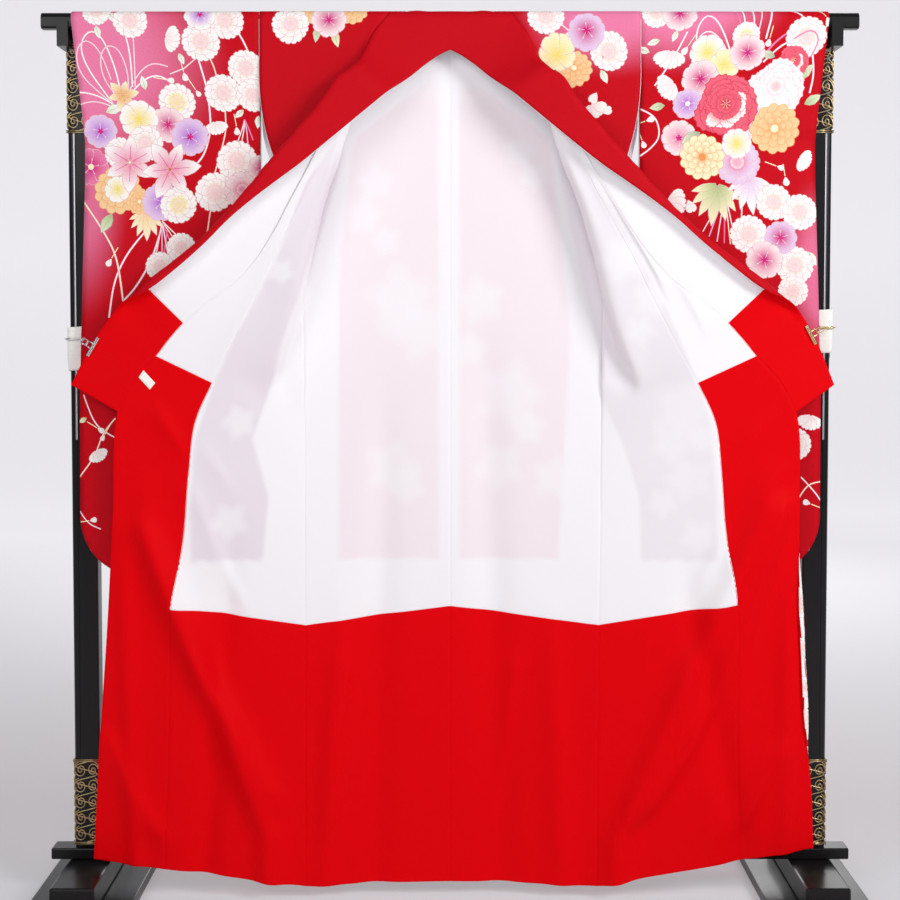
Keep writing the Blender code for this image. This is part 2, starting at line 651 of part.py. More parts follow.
def make_wrap(side, word, material):
    """A strip of cotton wound round the post where the front is clipped to it."""
    mesh = bmesh.new()
    rings = []
    for inset, level in ((WRAP_THICKNESS, 0), (WRAP_THICKNESS, 1), (0.0, 1), (0.0, 0)):
        half_x = POST_WIDTH / 2 + SEAM_GAP + inset
        half_y = POST_DEPTH / 2 + SEAM_GAP + inset
        corner = 4 * MM + inset
        height = WRAP_CENTRE_HEIGHT + WRAP_HEIGHT * (level - 0.5)
        ring = []
        for quarter, (sx, sy) in enumerate(((1, 1), (-1, 1), (-1, -1), (1, -1))):
            for turn in np.linspace(0.0, math.pi / 2, 4):
                angle = turn + quarter * math.pi / 2
                bend = corner if inset else 0.2 * MM
                x = sx * (half_x - bend) + bend * math.cos(angle)
                y = sy * (half_y - bend) + bend * math.sin(angle)
                ring.append(mesh.verts.new((side * POST_OUT + x, y, height)))
        rings.append(ring)
    count = len(rings[0])
    for first, second in zip(rings, rings[1:] + rings[:1]):
        for k in range(count):
            mesh.faces.new((first[k], first[(k + 1) % count], second[(k + 1) % count], second[k]))
    as_object("post_wrap_" + word, mesh, material, math.radians(50))


def clip_frame(side):
    """The collar's free edge where the clip holds it: middle, along it and out past it."""
    upper, lower = along(COLLAR_FOLD, 0.830), along(COLLAR_FOLD, 0.770)
    ends = placed(side, np.array((upper, lower)))
    seam = placed(side, along(FREE_EDGE, 0.800))
    middle = Vector(ends[0] * 0.6 + ends[1] * 0.4)
    run = (Vector(ends[0]) - Vector(ends[1])).normalized()
    outward = middle - Vector(seam)
    outward = (outward - run * outward.dot(run)).normalized()
    return middle, run, outward


def make_clip(side, word, material):
    """A spring clip's jaws, shut over the collar's edge, and the wire that ties it back."""
    middle, run, outward = clip_frame(side)
    face = run.cross(outward).normalized()
    slot = HALF_GAP + CLOTH + SEAM_GAP
    skin = slot + 1.3 * MM
    length, grip, lead = 0.019, 0.008, 0.004
    profile = [(-grip, -skin), (lead, -skin), (lead, skin), (-grip, skin), (-grip, slot),
               (0.6 * MM, slot), (0.6 * MM, -slot), (-grip, -slot)]
    mesh = bmesh.new()
    first = [mesh.verts.new(middle - run * length + outward * a + face * b) for a, b in profile]
    cap = mesh.faces.new(first)
    moved = bmesh.ops.extrude_face_region(mesh, geom=[cap])
    verts = [part for part in moved["geom"] if isinstance(part, bmesh.types.BMVert)]
    bmesh.ops.translate(mesh, vec=run * 2 * length, verts=verts)
    as_object("clip_" + word, mesh, material, math.radians(30))
    start = middle + outward * (lead + 1.7 * MM)
    bend = Vector((side * 0.692, start.y, start.z + 4 * MM))
    back = Vector((side * 0.692, BAR_Y + 0.006, start.z + 2 * MM))
    wrap_front = -POST_DEPTH / 2 - SEAM_GAP - WRAP_THICKNESS
    end = Vector((side * 0.683, wrap_front - 0.4 * MM, start.z))
    corners = [start, start + outward * 0.010, bend, back, end]
    points = measured(rounded([tuple(point) for point in corners]), np.linspace(0.0, 1.0, 22))
    curve = bpy.data.curves.new("clip_wire_" + word, "CURVE")
    curve.dimensions = "3D"
    curve.bevel_depth = 1.3 * MM
    curve.bevel_resolution = 2
    curve.use_fill_caps = True
    spline = curve.splines.new("POLY")
    spline.points.add(len(points) - 1)
    for spot, point in zip(spline.points, points):
        spot.co = (*point, 1.0)
    drawn = bpy.data.objects.new("wire", curve)
    wire = bmesh.new()
    wire.from_mesh(drawn.to_mesh())
    bmesh.ops.remove_doubles(wire, verts=wire.verts, dist=0.01 * MM)
    bpy.data.objects.remove(drawn)
    as_object("clip_wire_" + word, wire, material, math.radians(50))


def make_stand(materials):
    lacquer = materials["lacquer"]
    make_top_bar(lacquer)
    block("lower_rail", (-RAIL_HALF_LENGTH, -RAIL_DEPTH / 2, BEAM_TOP + SEAM_GAP),
          (RAIL_HALF_LENGTH, RAIL_DEPTH / 2, RAIL_TOP), lacquer, 2.5 * MM)
    for side, word in ((-1, "left"), (1, "right")):
        spans = {}
        for part, low, high in (("post", POST_OUT - POST_WIDTH / 2, POST_OUT + POST_WIDTH / 2),
                                ("beam", BEAM_INNER, BEAM_OUTER),
                                ("board", BOARD_INNER, BOARD_OUTER)):
            spans[part] = sorted((side * low, side * high))
        block("post_" + word, (spans["post"][0], -POST_DEPTH / 2, RAIL_TOP + SEAM_GAP),
              (spans["post"][1], POST_DEPTH / 2, POST_TOP), lacquer, 3 * MM)
        block("foot_beam_" + word, (spans["beam"][0], -BEAM_HALF_LENGTH, BOARD_TOP + SEAM_GAP),
              (spans["beam"][1], BEAM_HALF_LENGTH, BEAM_TOP), lacquer, 4 * MM)
        block("foot_board_" + word, (spans["board"][0], -BOARD_HALF_LENGTH, 0.0),
              (spans["board"][1], BOARD_HALF_LENGTH, BOARD_TOP), lacquer, 2 * MM)
        make_bar_rest(side, word, lacquer)
        make_wrap(side, word, materials["cotton"])
        make_clip(side, word, materials["steel" if side < 0 else "brass"])


def make_label(okumi, material):
    """The small bare label sewn to the okumi's lining beside the collar seam, on the left."""
    row = HANGING.index(0.830) - HANGING.index(OKUMI_TOP)
    normal = normals(okumi)
    corners = placed(-1, np.array((okumi[row, -2], okumi[row, -1], okumi[row - 1, -1],
                                   okumi[row - 1, -2])))
    lift = placed(-1, okumi[row, -1] - normal[row, -1]) - corners[1]
    seam = Vector(corners[2] - corners[1]).normalized()
    across = Vector(corners[0] - corners[1])
    across = (across - seam * across.dot(seam)).normalized()
    away = seam.cross(across).normalized()
    if away.dot(Vector(lift)) < 0:
        away = -away
    middle = Vector(corners.mean(axis=0) * 0.35 + (corners[1] + corners[2]) / 2 * 0.65)
    low = HALF_GAP + LINING + 1.5 * SEAM_GAP
    mesh = bmesh.new()
    bmesh.ops.create_cube(mesh, size=1.0)
    for vertex in mesh.verts:
        spot = vertex.co.copy()
        vertex.co = (middle + seam * spot.x * 0.033 + across * spot.y * 0.0135
                     + away * (low + (spot.z + 0.5) * 0.6 * MM))
    as_object("label", mesh, material, math.radians(30))


def main():
    clear_scene()
    materials = {
        "outer": finish("crimson_crepe", CRIMSON, 0.55),
        "red": finish("red_hem_silk", BRIGHT_RED, 0.50),
        "white": finish("white_lining_silk", WHITE_SILK, 0.45),
        "lacquer": finish("black_lacquer", LACQUER, 0.15),
        "cotton": finish("white_cotton", COTTON, 0.85),
        "steel": finish("clip_steel", STEEL, 0.35, 1.0),
        "brass": finish("clip_brass", BRASS, 0.35, 1.0),
    }
    make_stand(materials)
    for side, word in ((-1, "left"), (1, "right")):
        okumi = make_body(side, word, materials)
        if side < 0:
            make_label(okumi, materials["cotton"])
        make_sleeve(side, word, materials["outer"])
    make_collar(materials)


main()
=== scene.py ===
"""A printed silk furisode, opened over the bar of a lacquered kimono stand.

Local places are (out, fore, height) in metres: out from the middle of the stand, fore from the
bar towards the viewer, height above the floor. The left side lies at -X and the front at -Y.
"""
import math

import bmesh
import bpy
import numpy as np
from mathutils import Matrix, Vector
from mathutils.geometry import delaunay_2d_cdt


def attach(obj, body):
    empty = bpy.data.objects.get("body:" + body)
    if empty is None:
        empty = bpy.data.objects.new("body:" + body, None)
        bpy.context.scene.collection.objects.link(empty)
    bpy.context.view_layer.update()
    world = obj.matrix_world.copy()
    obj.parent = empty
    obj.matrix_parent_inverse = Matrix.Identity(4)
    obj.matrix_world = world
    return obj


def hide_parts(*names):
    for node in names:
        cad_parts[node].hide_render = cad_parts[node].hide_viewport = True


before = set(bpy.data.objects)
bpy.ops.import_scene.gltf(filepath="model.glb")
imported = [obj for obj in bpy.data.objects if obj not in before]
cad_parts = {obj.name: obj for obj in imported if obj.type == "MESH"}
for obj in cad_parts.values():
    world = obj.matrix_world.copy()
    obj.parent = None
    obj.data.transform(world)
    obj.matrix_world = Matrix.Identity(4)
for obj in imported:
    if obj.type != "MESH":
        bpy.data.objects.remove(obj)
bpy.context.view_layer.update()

MM = 0.001

# Cloth: the outer cloth and the lining lie on either side of one shared surface.
SEAM_GAP = 0.3 * MM
CLOTH = 1.2 * MM
LINING = 1.0 * MM
HALF_GAP = SEAM_GAP / 2

# Stand
BAR_RADIUS = 12.4 * MM
BAR_CLEARANCE = 0.9 * MM
BAR_CENTRE_HEIGHT = 1.605
BAR_Y = -0.0335
POST_OUT = 0.667
POST_WIDTH = 0.036
POST_DEPTH = 0.032
RAIL_TOP = 0.085
WRAP_HEIGHT = 0.092
WRAP_CENTRE_HEIGHT = 1.010
STAND_NODES = ("top_bar", "bar_rest_left", "bar_rest_right", "post_left", "post_right",
               "lower_rail", "foot_beam_left", "foot_beam_right", "foot_board_left",
               "foot_board_right")
MOULDING_WIDTH = 0.013
MOULDING_TOP = 1.552
# Heights of the pale line beside each moulding, a painted highlight along the post's edge.
HIGHLIGHT_STRIP_LOW, HIGHLIGHT_STRIP_HIGH = 0.845, 1.404
RIGHT_WRAP_RAISED = 0.030
WRAP_TURNS = 5
# The strip's length for one turn round a post.
COTTON_STRIP_WIDTH = 30 * MM
COTTON_THICKNESS = 0.7 * MM
# How far down the collar each clip grips its fold, left and right.
CLIP_GRIPS = {-1: 0.826, 1: 0.803}
CLIP_HALF_LENGTH = 19 * MM
JAW_WIRE, SPRING_WIRE, TIE_WIRE, SCROLL_WIRE = 1.7 * MM, 0.8 * MM, 0.9 * MM, 1.0 * MM
# How far the tying wire lies from the bare post, round its cotton.
OVER_COTTON = 4.6 * MM
LABEL_LENGTH, LABEL_WIDTH = 31 * MM, 15 * MM
# The label's corners: across from the middle and height, in millimetres.
LABEL = ((-549, 975), (-528, 952), (-538, 940), (-558, 962))
# Heights of the scrollwork on the posts, in millimetres.
SCROLL_HEIGHTS = ((92, 250), (1406, 1572))

# Furisode
CLOTH_RADIUS = BAR_RADIUS + BAR_CLEARANCE + LINING + HALF_GAP
OVER_BAR = CLOTH_RADIUS * math.pi / 2
SHOULDER_OUT = 0.342
NECK_OUT = 0.102
NECK_BACK_OUT = 0.078
NECK_BACK_ANGLE = math.radians(78)
COLLAR_FOLD_RADIUS = 8 * MM
SLEEVE_WALL = 1.7 * MM
SLEEVE_BOTTOM = 0.595
SLEEVE_CORNER = 0.110
WRIST_HEIGHT = 1.396

# Stations down the front, as distance along the cloth from the shoulder line.
HANGING = (0.047, 0.080, 0.120, 0.161, 0.220, 0.286, 0.347, 0.392, 0.450, 0.505, 0.576, 0.639,
           0.692, 0.731, 0.770, 0.830, 0.893, 1.000, 1.110, 1.230, 1.350, 1.480, 1.600)
HEM = HANGING[-1]
OKUMI_TOP = 0.286
COLLAR_LINING_TOP = 0.134
COLLAR_STEP = 0.692
ROLL_TOP = 0.161
COLLAR_FLAT = 0.770
OKUMI_STEP = 0.770
COLLAR_END = 0.893
BODY_STEP = 1.110

# Each rail below has the columns down, out, fore, height, in millimetres.
FRONT_SIDE = ((47, 342, 15, 1582), (161, 340, 16, 1458), (220, 330, 16, 1400),
              (286, 312, 15, 1343), (392, 278, 10, 1229), (450, 270, 8, 1170), (505, 267, 8, 1115),
              (692, 265, 9, 928), (893, 264, 11, 728), (1110, 263, 14, 508), (1350, 264, 16, 287),
              (1600, 264, 18, 26))
BACK_SIDE = ((47, 342, -14, 1582), (161, 341, -13, 1458), (220, 338, -10, 1400),
             (286, 322, -6, 1343), (392, 283, 2, 1229), (450, 270, 6, 1170), (505, 267, 6, 1115),
             (576, 266, 7, 1044), (692, 265, 8, 928), (893, 264, 11, 728), (1110, 263, 14, 508),
             (1350, 264, 16, 287), (1600, 264, 18, 26))
OKUMI_SEAM = ((286, 234.4, 54.9, 1367.9), (347, 247, 57, 1313), (392, 266, 60, 1272),
              (505, 316, 60, 1168), (576, 343, 57, 1111), (639, 371, 54, 1056),
              (692, 395, 50, 1009), (770, 426, 45, 952), (830, 458, 42, 880), (893, 469, 40, 800),
              (1000, 481, 36, 675), (1110, 502, 32, 545), (1350, 511, 30, 315), (1600, 521, 28, 61))
FREE_EDGE = ((47, 134, 18.6, 1584), (80, 154, 26.5, 1543), (120, 166, 36, 1510), (161, 178, 42, 1478),
             (220, 205, 50, 1424), (286, 235, 55, 1368), (347, 262, 59, 1314),
             (392, 283, 62, 1275), (505, 339, 60, 1180), (576, 386, 58, 1129),
             (639, 436, 56, 1093), (692, 476, 52, 1059), (770, 526, 46, 1000), (893, 596, 42, 900),
             (1000, 607, 38, 720), (1110, 617, 35, 557), (1350, 634, 32, 330), (1600, 650, 30, 81))
COLLAR_FOLD = ((80, 166, 37, 1558), (120, 181, 45, 1532), (161, 197, 52, 1499),
               (286, 265, 66, 1409), (347, 302, 70, 1365), (392, 328, 72, 1334),
               (505, 396, 70, 1254), (576, 445, 68, 1205), (639, 494, 65, 1166),
               (692, 545, 59, 1127), (770, 610, 38, 1068), (830, 646, 34, 1016),
               (893, 681, 34, 948))
COLLAR_TIP = ((-102, 0, 16, 1549), (-50, 20, 18, 1539), (0, 45, 23, 1521), (47, 71, 31, 1499),
              (80, 90, 44, 1484), (120, 112, 56, 1468), (161, 133, 62, 1450), (286, 222, 76, 1375),
              (347, 268, 80, 1337), (392, 302, 82, 1312), (505, 386, 80, 1246),
              (576, 436, 78, 1197), (639, 485, 75, 1155), (692, 534, 69, 1119))
# How far the collar is folded over, and how far from its seam the fold begins: down, degrees, mm.
COLLAR_TURN = ((47, 35, 3), (80, 80, 4), (120, 130, 10), (161, 180, 20))
# How far the front turns up towards the collar seam there: down, degrees, radius, run in mm.
FRONT_TURN = ((47, 35, 7, 4), (80, 80, 8, 5), (120, 130, 9.5, 6))
# The front rolls over itself here: down, out at the roll, fore behind it, fore before it.
ROLL = ((161, 166, 17, 40), (220, 181, 18, 48),
        (286, 197, 20, 52), (347, 218, 20, 55), (392, 231, 20, 58), (505, 256, 20, 62),
        (576, 273, 18, 56), (639, 292, 16, 50), (692, 314, 16, 42))
# Middle of the back: down, out, fore, height.
BACK_MIDDLE = ((47, 0, -14, 1582), (161, 0, -13, 1468), (286, 0, -9, 1343), (505, 0, -5, 1125),
               (692, 0, -3, 940), (893, 0, -1, 740), (1110, 0, 1, 541), (1350, 0, 3, 287),
               (1600, 0, 4, 30))
# Soft folds: side, out and height at the upper end, out and height at the lower end, width, rise.
FOLDS = ((-1, 548, 700, 330, 120, 26, 17), (1, 548, 720, 300, 110, 26, 17),
         (-1, 120, 900, 140, 60, 30, -9), (1, 60, 1000, 90, 60, 32, -9),
         (-1, 400, 640, 450, 80, 26, -10), (1, 420, 560, 520, 90, 26, -10),
         (-1, 200, 520, 230, 60, 22, 8), (1, 180, 480, 200, 60, 24, 8),
         (-1, 590, 620, 575, 90, 18, 7), (1, 590, 560, 600, 90, 18, 7))
# Creases: side, (out, height) down the crease, reach towards the middle and outwards, rise.
CREASES = ((-1, ((202, 1392), (260, 1306), (304, 1192), (345, 1106), (387, 1031), (430, 950)),
            4, 26, 5),
           (1, ((224, 1387), (256, 1337), (297, 1249), (340, 1169), (380, 1096)), 4, 24, 5),
           (1, ((300, 1300), (350, 1200), (410, 1100), (452, 1020)), 8, 16, 3),
           (-1, ((462, 850), (410, 790), (380, 740)), 9, 18, 4),
           (-1, ((470, 780), (440, 700), (405, 600), (352, 520)), 9, 20, 5),
           (1, ((476, 840), (440, 790), (400, 740)), 9, 18, 4),
           (1, ((482, 700), (455, 620), (420, 545)), 10, 18, 4),
           (-1, ((536, 925), (505, 868), (462, 810)), 12, 24, 8),
           (1, ((545, 905), (520, 850), (476, 800)), 10, 20, 4),
           (1, ((590, 820), (560, 770), (520, 730)), 10, 20, 4),
           (-1, ((560, 720), (522, 600), (470, 456), (372, 290), (300, 150)), 20, 36, 13),
           (1, ((585, 760), (550, 600), (500, 456), (425, 277), (330, 130)), 36, 20, 15),
           (-1, ((630, 330), (575, 200), (505, 90)), 18, 36, 9),
           (1, ((600, 300), (555, 200), (500, 90)), 36, 18, 10),
           (1, ((120, 470), (100, 300), (70, 100)), 26, 10, 5),
           (-1, ((180, 470), (205, 300), (215, 100)), 10, 26, 5))
# The sleeve's outer edge: height, out.
SLEEVE_EDGE = ((1621, 682), (1584, 678), (1411, 660), (1317, 661), (1137, 668), (920, 675),
               (720, 676), (595, 676))


def along(rail, down):
    """The point of a rail at a distance down the cloth, on a smooth curve through its rows."""
    rows = np.array(rail, float) * MM
    knots, values = rows[:, 0], rows[:, 1:]
    down = min(max(down, knots[0]), knots[-1])
    slopes = np.gradient(values, knots, axis=0)
    k = min(int(np.searchsorted(knots, down, side="right")) - 1, len(knots) - 2)
    step = knots[k + 1] - knots[k]
    t = (down - knots[k]) / step
    return ((2 * t**3 - 3 * t**2 + 1) * values[k] + (t**3 - 2 * t**2 + t) * step * slopes[k]
            + (3 * t**2 - 2 * t**3) * values[k + 1] + (t**3 - t**2) * step * slopes[k + 1])


def over_bar(out, angle):
    """A place on the cloth over the bar: angle 0 on top, positive in front, negative behind."""
    return np.array((out, CLOTH_RADIUS * math.sin(angle),
                     BAR_CENTRE_HEIGHT + CLOTH_RADIUS * math.cos(angle)))


def rounded(corners, rounds=4):
    """An open line through the corners with each inner corner cut round and the ends kept."""
    line = np.array(corners, float)
    for _ in range(rounds):
        near = 0.75 * line[:-1] + 0.25 * line[1:]
        far = 0.25 * line[:-1] + 0.75 * line[1:]
        cut = np.stack((near, far), axis=1).reshape(-1, 3)
        line = np.vstack((line[:1], cut[1:-1], line[-1:]))
    return line


def measured(line, shares, start=0.0, end=0.0):
    """Points at the given shares of a line's length, which is shortened at its two ends."""
    runs = np.concatenate(([0.0], np.cumsum(np.linalg.norm(np.diff(line, axis=0), axis=1))))
    at = start + np.array(shares) * (runs[-1] - start - end)
    return np.stack([np.interp(at, runs, line[:, axis]) for axis in range(3)], axis=1)


def fold_rise(side, points):
    """How far the soft folds and the sharper creases lift the cloth at each point."""
    rise = np.zeros(points.shape[:-1])
    out, height = points[..., 0], points[..., 2]
    for fold_side, out_1, height_1, out_2, height_2, width, lift in FOLDS:
        if fold_side != side:
            continue
        share = np.clip((height_1 * MM - height) / ((height_1 - height_2) * MM), 0.0, 1.0)
        middle = (out_1 + (out_2 - out_1) * share) * MM
        fade = np.clip((height_1 * MM + 0.10 - height) / 0.20, 0.0, 1.0)
        rise += lift * MM * fade * np.exp(-((out - middle) / (width * MM)) ** 2)
    for crease_side, line, inner, outer, lift in CREASES:
        if crease_side != side:
            continue
        rows = np.array(line[::-1], float) * MM
        middle = sum(np.interp(height + shift, rows[:, 1], rows[:, 0])
                     for shift in (-0.045, -0.022, 0.0, 0.022, 0.045)) / 5
        ends = np.clip((height - rows[0, 1]) / 0.05, 0.0, 1.0) * np.clip(
            (rows[-1, 1] - height) / 0.04, 0.0, 1.0)
        away = out - middle
        width = np.where(away < 0, inner, outer) * MM
        rise += lift * MM * ends * np.exp(-np.abs(away / width) ** 1.5)
    return rise


def placed(side, points, body=True):
    """World places of local ones; the body's right side reaches further out and higher."""
    points = np.array(points, float)
    out, fore, height = points[..., 0], points[..., 1], points[..., 2]
    if side > 0 and body:
        upper = np.clip((1.38 - height) / 0.20, 0.0, 1.0)
        lower = np.clip((0.90 - height) / 0.80, 0.0, 1.0)
        at_tip = np.clip((out - 0.60) / 0.081, 0.0, 1.0) * np.clip((height - 0.86) / 0.03, 0.0, 1.0)
        out = out * (1.0 + 0.042 * upper * (1.0 - 0.66 * at_tip) - 0.022 * lower)
        height = height + 0.020 * lower * np.clip((out - 0.25) / 0.40, 0.0, 1.0)
    return np.stack((side * out, BAR_Y - fore, height), axis=-1)


def tangents(grid):
    """Unit directions down a grid's first axis, halfway between the stretches that meet."""
    stretch = np.diff(grid, axis=0)
    stretch /= np.linalg.norm(stretch, axis=2, keepdims=True)
    between = stretch[:-1] + stretch[1:]
    between /= np.linalg.norm(between, axis=2, keepdims=True)
    first = 2.0 * stretch[:1] - between[:1]
    last = 2.0 * stretch[-1:] - between[-1:]
    return np.concatenate((first, between, last), axis=0)


def normals(grid):
    """Unit normals of a grid of points, towards the garment's outside."""
    across = tangents(grid.transpose(1, 0, 2)).transpose(1, 0, 2)
    normal = np.cross(tangents(grid), across)
    return normal / np.linalg.norm(normal, axis=2, keepdims=True)


def front_section(down):
    """The front panel across one station, from its side edge round the roll to its seam."""
    side_edge = along(FRONT_SIDE, down)
    seam = along(OKUMI_SEAM if down >= OKUMI_TOP else FREE_EDGE, down)
    if down > COLLAR_STEP:
        return np.array((side_edge, seam))
    if down < ROLL_TOP:
        return turned_up(down, side_edge, seam)
    out, behind, before = along(ROLL, down)
    reach = before - behind
    heights = np.linspace(side_edge[2], seam[2], 6)
    corners = [side_edge,
               (min(out + reach, side_edge[0]), behind, heights[1]),
               (out, behind, heights[2]),
               (out, before, heights[3]),
               (max(min(out + reach, seam[0] - 5 * MM), out), before, heights[4]),
               seam]
    return rounded(corners)


def turned_up(down, side_edge, seam):
    """The front where it only begins to roll: flat, then turning up to the collar seam."""
    rows = np.array(FRONT_TURN, float)
    turn_to, radius, run = (np.interp(down / MM, rows[:, 0], rows[:, k]) for k in (1, 2, 3))
    turn_to = math.radians(turn_to)
    centre = seam + MM * np.array((run * math.cos(turn_to), -run * math.sin(turn_to), 0.0))
    line = []
    for turn in np.linspace(0.0, turn_to, 9):
        line.append(centre + radius * MM * np.array((
            math.sin(turn_to) - math.sin(turn), math.cos(turn_to) - math.cos(turn), 0.0)))
    return np.array([side_edge] + line + [seam])


def neck_at_front():
    """How far out the collar seam is where the cloth leaves the bar."""
    return NECK_OUT + (FREE_EDGE[0][1] * MM - NECK_OUT) * OVER_BAR / (FREE_EDGE[0][0] * MM)


def neckline_angle(out):
    """Where the back begins over the bar: behind it under the collar, on top at the shoulder."""
    share = (NECK_OUT - out) / (NECK_OUT - NECK_BACK_OUT)
    return SEAM_GAP / CLOTH_RADIUS + NECK_BACK_ANGLE * min(max(share, 0.0), 1.0)


def collar_section(down):
    """The collar across one station, from its seam round its fold to its free edge."""
    tip = along(COLLAR_TIP, down)
    if down <= OVER_BAR:
        if down <= 0.0:
            seam_out = NECK_OUT + down
            angle = SEAM_GAP / CLOTH_RADIUS - neckline_angle(seam_out)
        else:
            seam_out = NECK_OUT + (neck_at_front() - NECK_OUT) * down / OVER_BAR
            angle = down / CLOTH_RADIUS
        drift = 0.12 * (seam_out - tip[0])
        turns = np.linspace(angle, math.pi / 2, 7)
        line = [over_bar(seam_out - drift * k / 6, turn) for k, turn in enumerate(turns)]
        return np.array(line + [tip])
    seam = along(FREE_EDGE, down)
    if down < ROLL_TOP:
        return opening_fold(down, seam, tip)
    fold = along(COLLAR_FOLD, down)
    share = (COLLAR_FLAT - down) / (COLLAR_FLAT - COLLAR_STEP)
    if share <= 0.0:
        return np.array((seam, fold))
    turn_to = math.pi * min(share, 1.0)
    outward = (fold - seam) * (1.0, 0.0, 1.0)
    outward /= np.linalg.norm(outward)
    fore = np.array((0.0, 1.0, 0.0))
    centre = fold - COLLAR_FOLD_RADIUS * outward
    line = [seam]
    for turn in np.linspace(0.0, turn_to, 9):
        line.append(centre + COLLAR_FOLD_RADIUS * (outward * math.sin(turn)
                                                   - fore * math.cos(turn)))
    if share < 1.0:
        tip = line[-1] + 8 * MM * (outward * math.cos(turn_to) + fore * math.sin(turn_to))
    return np.array(line + [tip])


def opening_fold(down, seam, tip):
    """The collar's fold where it has not yet turned all the way over."""
    outward = (seam - tip) * (1.0, 0.0, 1.0)
    outward /= np.linalg.norm(outward)
    fore = np.array((0.0, 1.0, 0.0))
    rows = np.array(COLLAR_TURN, float)
    turn_to = math.radians(np.interp(down / MM, rows[:, 0], rows[:, 1]))
    first_run = np.interp(down / MM, rows[:, 0], rows[:, 2]) * MM
    start = seam + first_run * (fore * math.sin(turn_to) - outward * math.cos(turn_to))
    line = [seam]
    for turn in np.linspace(turn_to, 0.0, 9):
        line.append(start + COLLAR_FOLD_RADIUS * (
            fore * (math.cos(turn) - math.cos(turn_to))
            - outward * (math.sin(turn_to) - math.sin(turn))))
    return np.array(line + [tip])


def collar_stations():
    back = [-NECK_OUT, -0.065, -0.024, -0.016, -0.008]
    bar = [OVER_BAR * k / 3 for k in range(1, 4)]
    return back + [0.0] + bar + [down for down in HANGING if down <= COLLAR_END]


def sleeve_edge(height):
    rows = np.array(SLEEVE_EDGE, float)[::-1] * MM
    return float(np.interp(height, rows[:, 0], rows[:, 1]))


def sleeve_bottom(share):
    """The sleeve's lower edge, which turns up round the outer corner."""
    edge = sleeve_edge(SLEEVE_BOTTOM)
    out = SHOULDER_OUT + share * (edge - SHOULDER_OUT)
    into = max(out - (edge - SLEEVE_CORNER), 0.0)
    return SLEEVE_BOTTOM + SLEEVE_CORNER - math.sqrt(max(SLEEVE_CORNER**2 - into**2, 0.0))


# Fine shape of the cloth

def eased(stations, grid, downs):
    """Rows between a grid's stations, on smooth curves through them."""
    slopes = np.gradient(grid, stations, axis=0)
    k = np.clip(np.searchsorted(stations, downs, side="right") - 1, 0, len(stations) - 2)
    step = (stations[k + 1] - stations[k])[:, None, None]
    t = (downs - stations[k])[:, None, None] / step
    return ((2 * t**3 - 3 * t**2 + 1) * grid[k] + (t**3 - 2 * t**2 + t) * step * slopes[k]
            + (3 * t**2 - 2 * t**3) * grid[k + 1] + (t**3 - t**2) * step * slopes[k + 1])


def rows_between(first, last, step):
    """Distances down the cloth: close together over the bar, one step apart beyond it."""
    marks = [first] + [mark for mark in (-0.030, 0.030) if first < mark < last] + [last]
    rows = [first]
    for a, b in zip(marks, marks[1:]):
        apart = 2.2 * MM if abs(a + b) / 2 < 0.030 else step
        rows.extend(np.linspace(a, b, max(int(round((b - a) / apart)), 1) + 1)[1:])
    return np.array(rows)


class Cloth:
    """A panel's surface, read by its share across and its distance down."""

    def __init__(self, side, stations, sections, row_step=6 * MM, soft=True, body=True):
        stations = np.array(stations)
        self.side, self.body = side, body
        self.downs = rows_between(stations[0], stations[-1], row_step)
        self.places = eased(stations, np.array(sections), self.downs)
        if soft:
            self.places[..., 1] += fold_rise(side, self.places)
        self.normal = normals(self.places)
        self.widths = np.linalg.norm(np.diff(self.places, axis=1), axis=2).sum(axis=1)

    def at(self, share, down, lift):
        """World places at shares across and distances down, lifted off the surface."""
        rows = np.interp(down, self.downs, np.arange(len(self.downs)))
        beyond = share - np.clip(share, 0.0, 1.0)
        width = np.interp(down, self.downs, self.widths)
        columns = (share - beyond + beyond * self.widths.mean() / width) * (
            self.places.shape[1] - 1)
        i = np.clip(rows.astype(int), 0, len(self.downs) - 2)
        j = np.clip(columns.astype(int), 0, self.places.shape[1] - 2)
        u, v = (rows - i)[:, None], (columns - j)[:, None]
        found = []
        for table in (self.places, self.normal):
            found.append((table[i, j] * (1 - u) + table[i + 1, j] * u) * (1 - v)
                         + (table[i, j + 1] * (1 - u) + table[i + 1, j + 1] * u) * v)
        lift = np.broadcast_to(lift, share.shape)[:, None]
        return placed(self.side, found[0] + found[1] * lift, self.body)

    def shares(self, across, down):
        """Shares across for distances from the panel's first edge."""
        return across / np.interp(down, self.downs, self.widths)


def front_cloth(side):
    shares = np.linspace(0.0, 1.0, 57)
    stations, sections = [], []
    for angle in np.linspace(0.0, math.pi / 2, 4):
        down = angle * CLOTH_RADIUS
        neck = NECK_OUT + (neck_at_front() - NECK_OUT) * down / OVER_BAR
        line = np.array((over_bar(SHOULDER_OUT, angle), over_bar(neck, angle)))
        stations.append(down)
        sections.append(measured(line, shares))
    for down in HANGING:
        stations.append(down)
        sections.append(measured(front_section(down), shares))
    return Cloth(side, stations, sections)


def okumi_cloth(side):
    stations, sections = [], []
    for down in HANGING:
        if down >= OKUMI_TOP:
            line = [along(OKUMI_SEAM, down), along(FREE_EDGE, down)]
            turned = np.interp(down, (1.05, 1.12, 1.36, 1.45), (0.0, 1.0, 1.0, 0.0)) * (side > 0)
            edge = line[1]
            if turned > 0:
                line[1] = edge - np.array((2.5, 0.0, 0.0)) * MM
                line += [edge + turned * np.array((back, fore, 0.0)) * MM
                         for back, fore in ((0.0, 1.0), (-0.6, 2.9), (-3.0, 4.1), (-8.0, 4.6))]
            stations.append(down)
            sections.append(measured(np.array(line), np.linspace(0.0, 1.0, 61)))
    return Cloth(side, stations, sections)


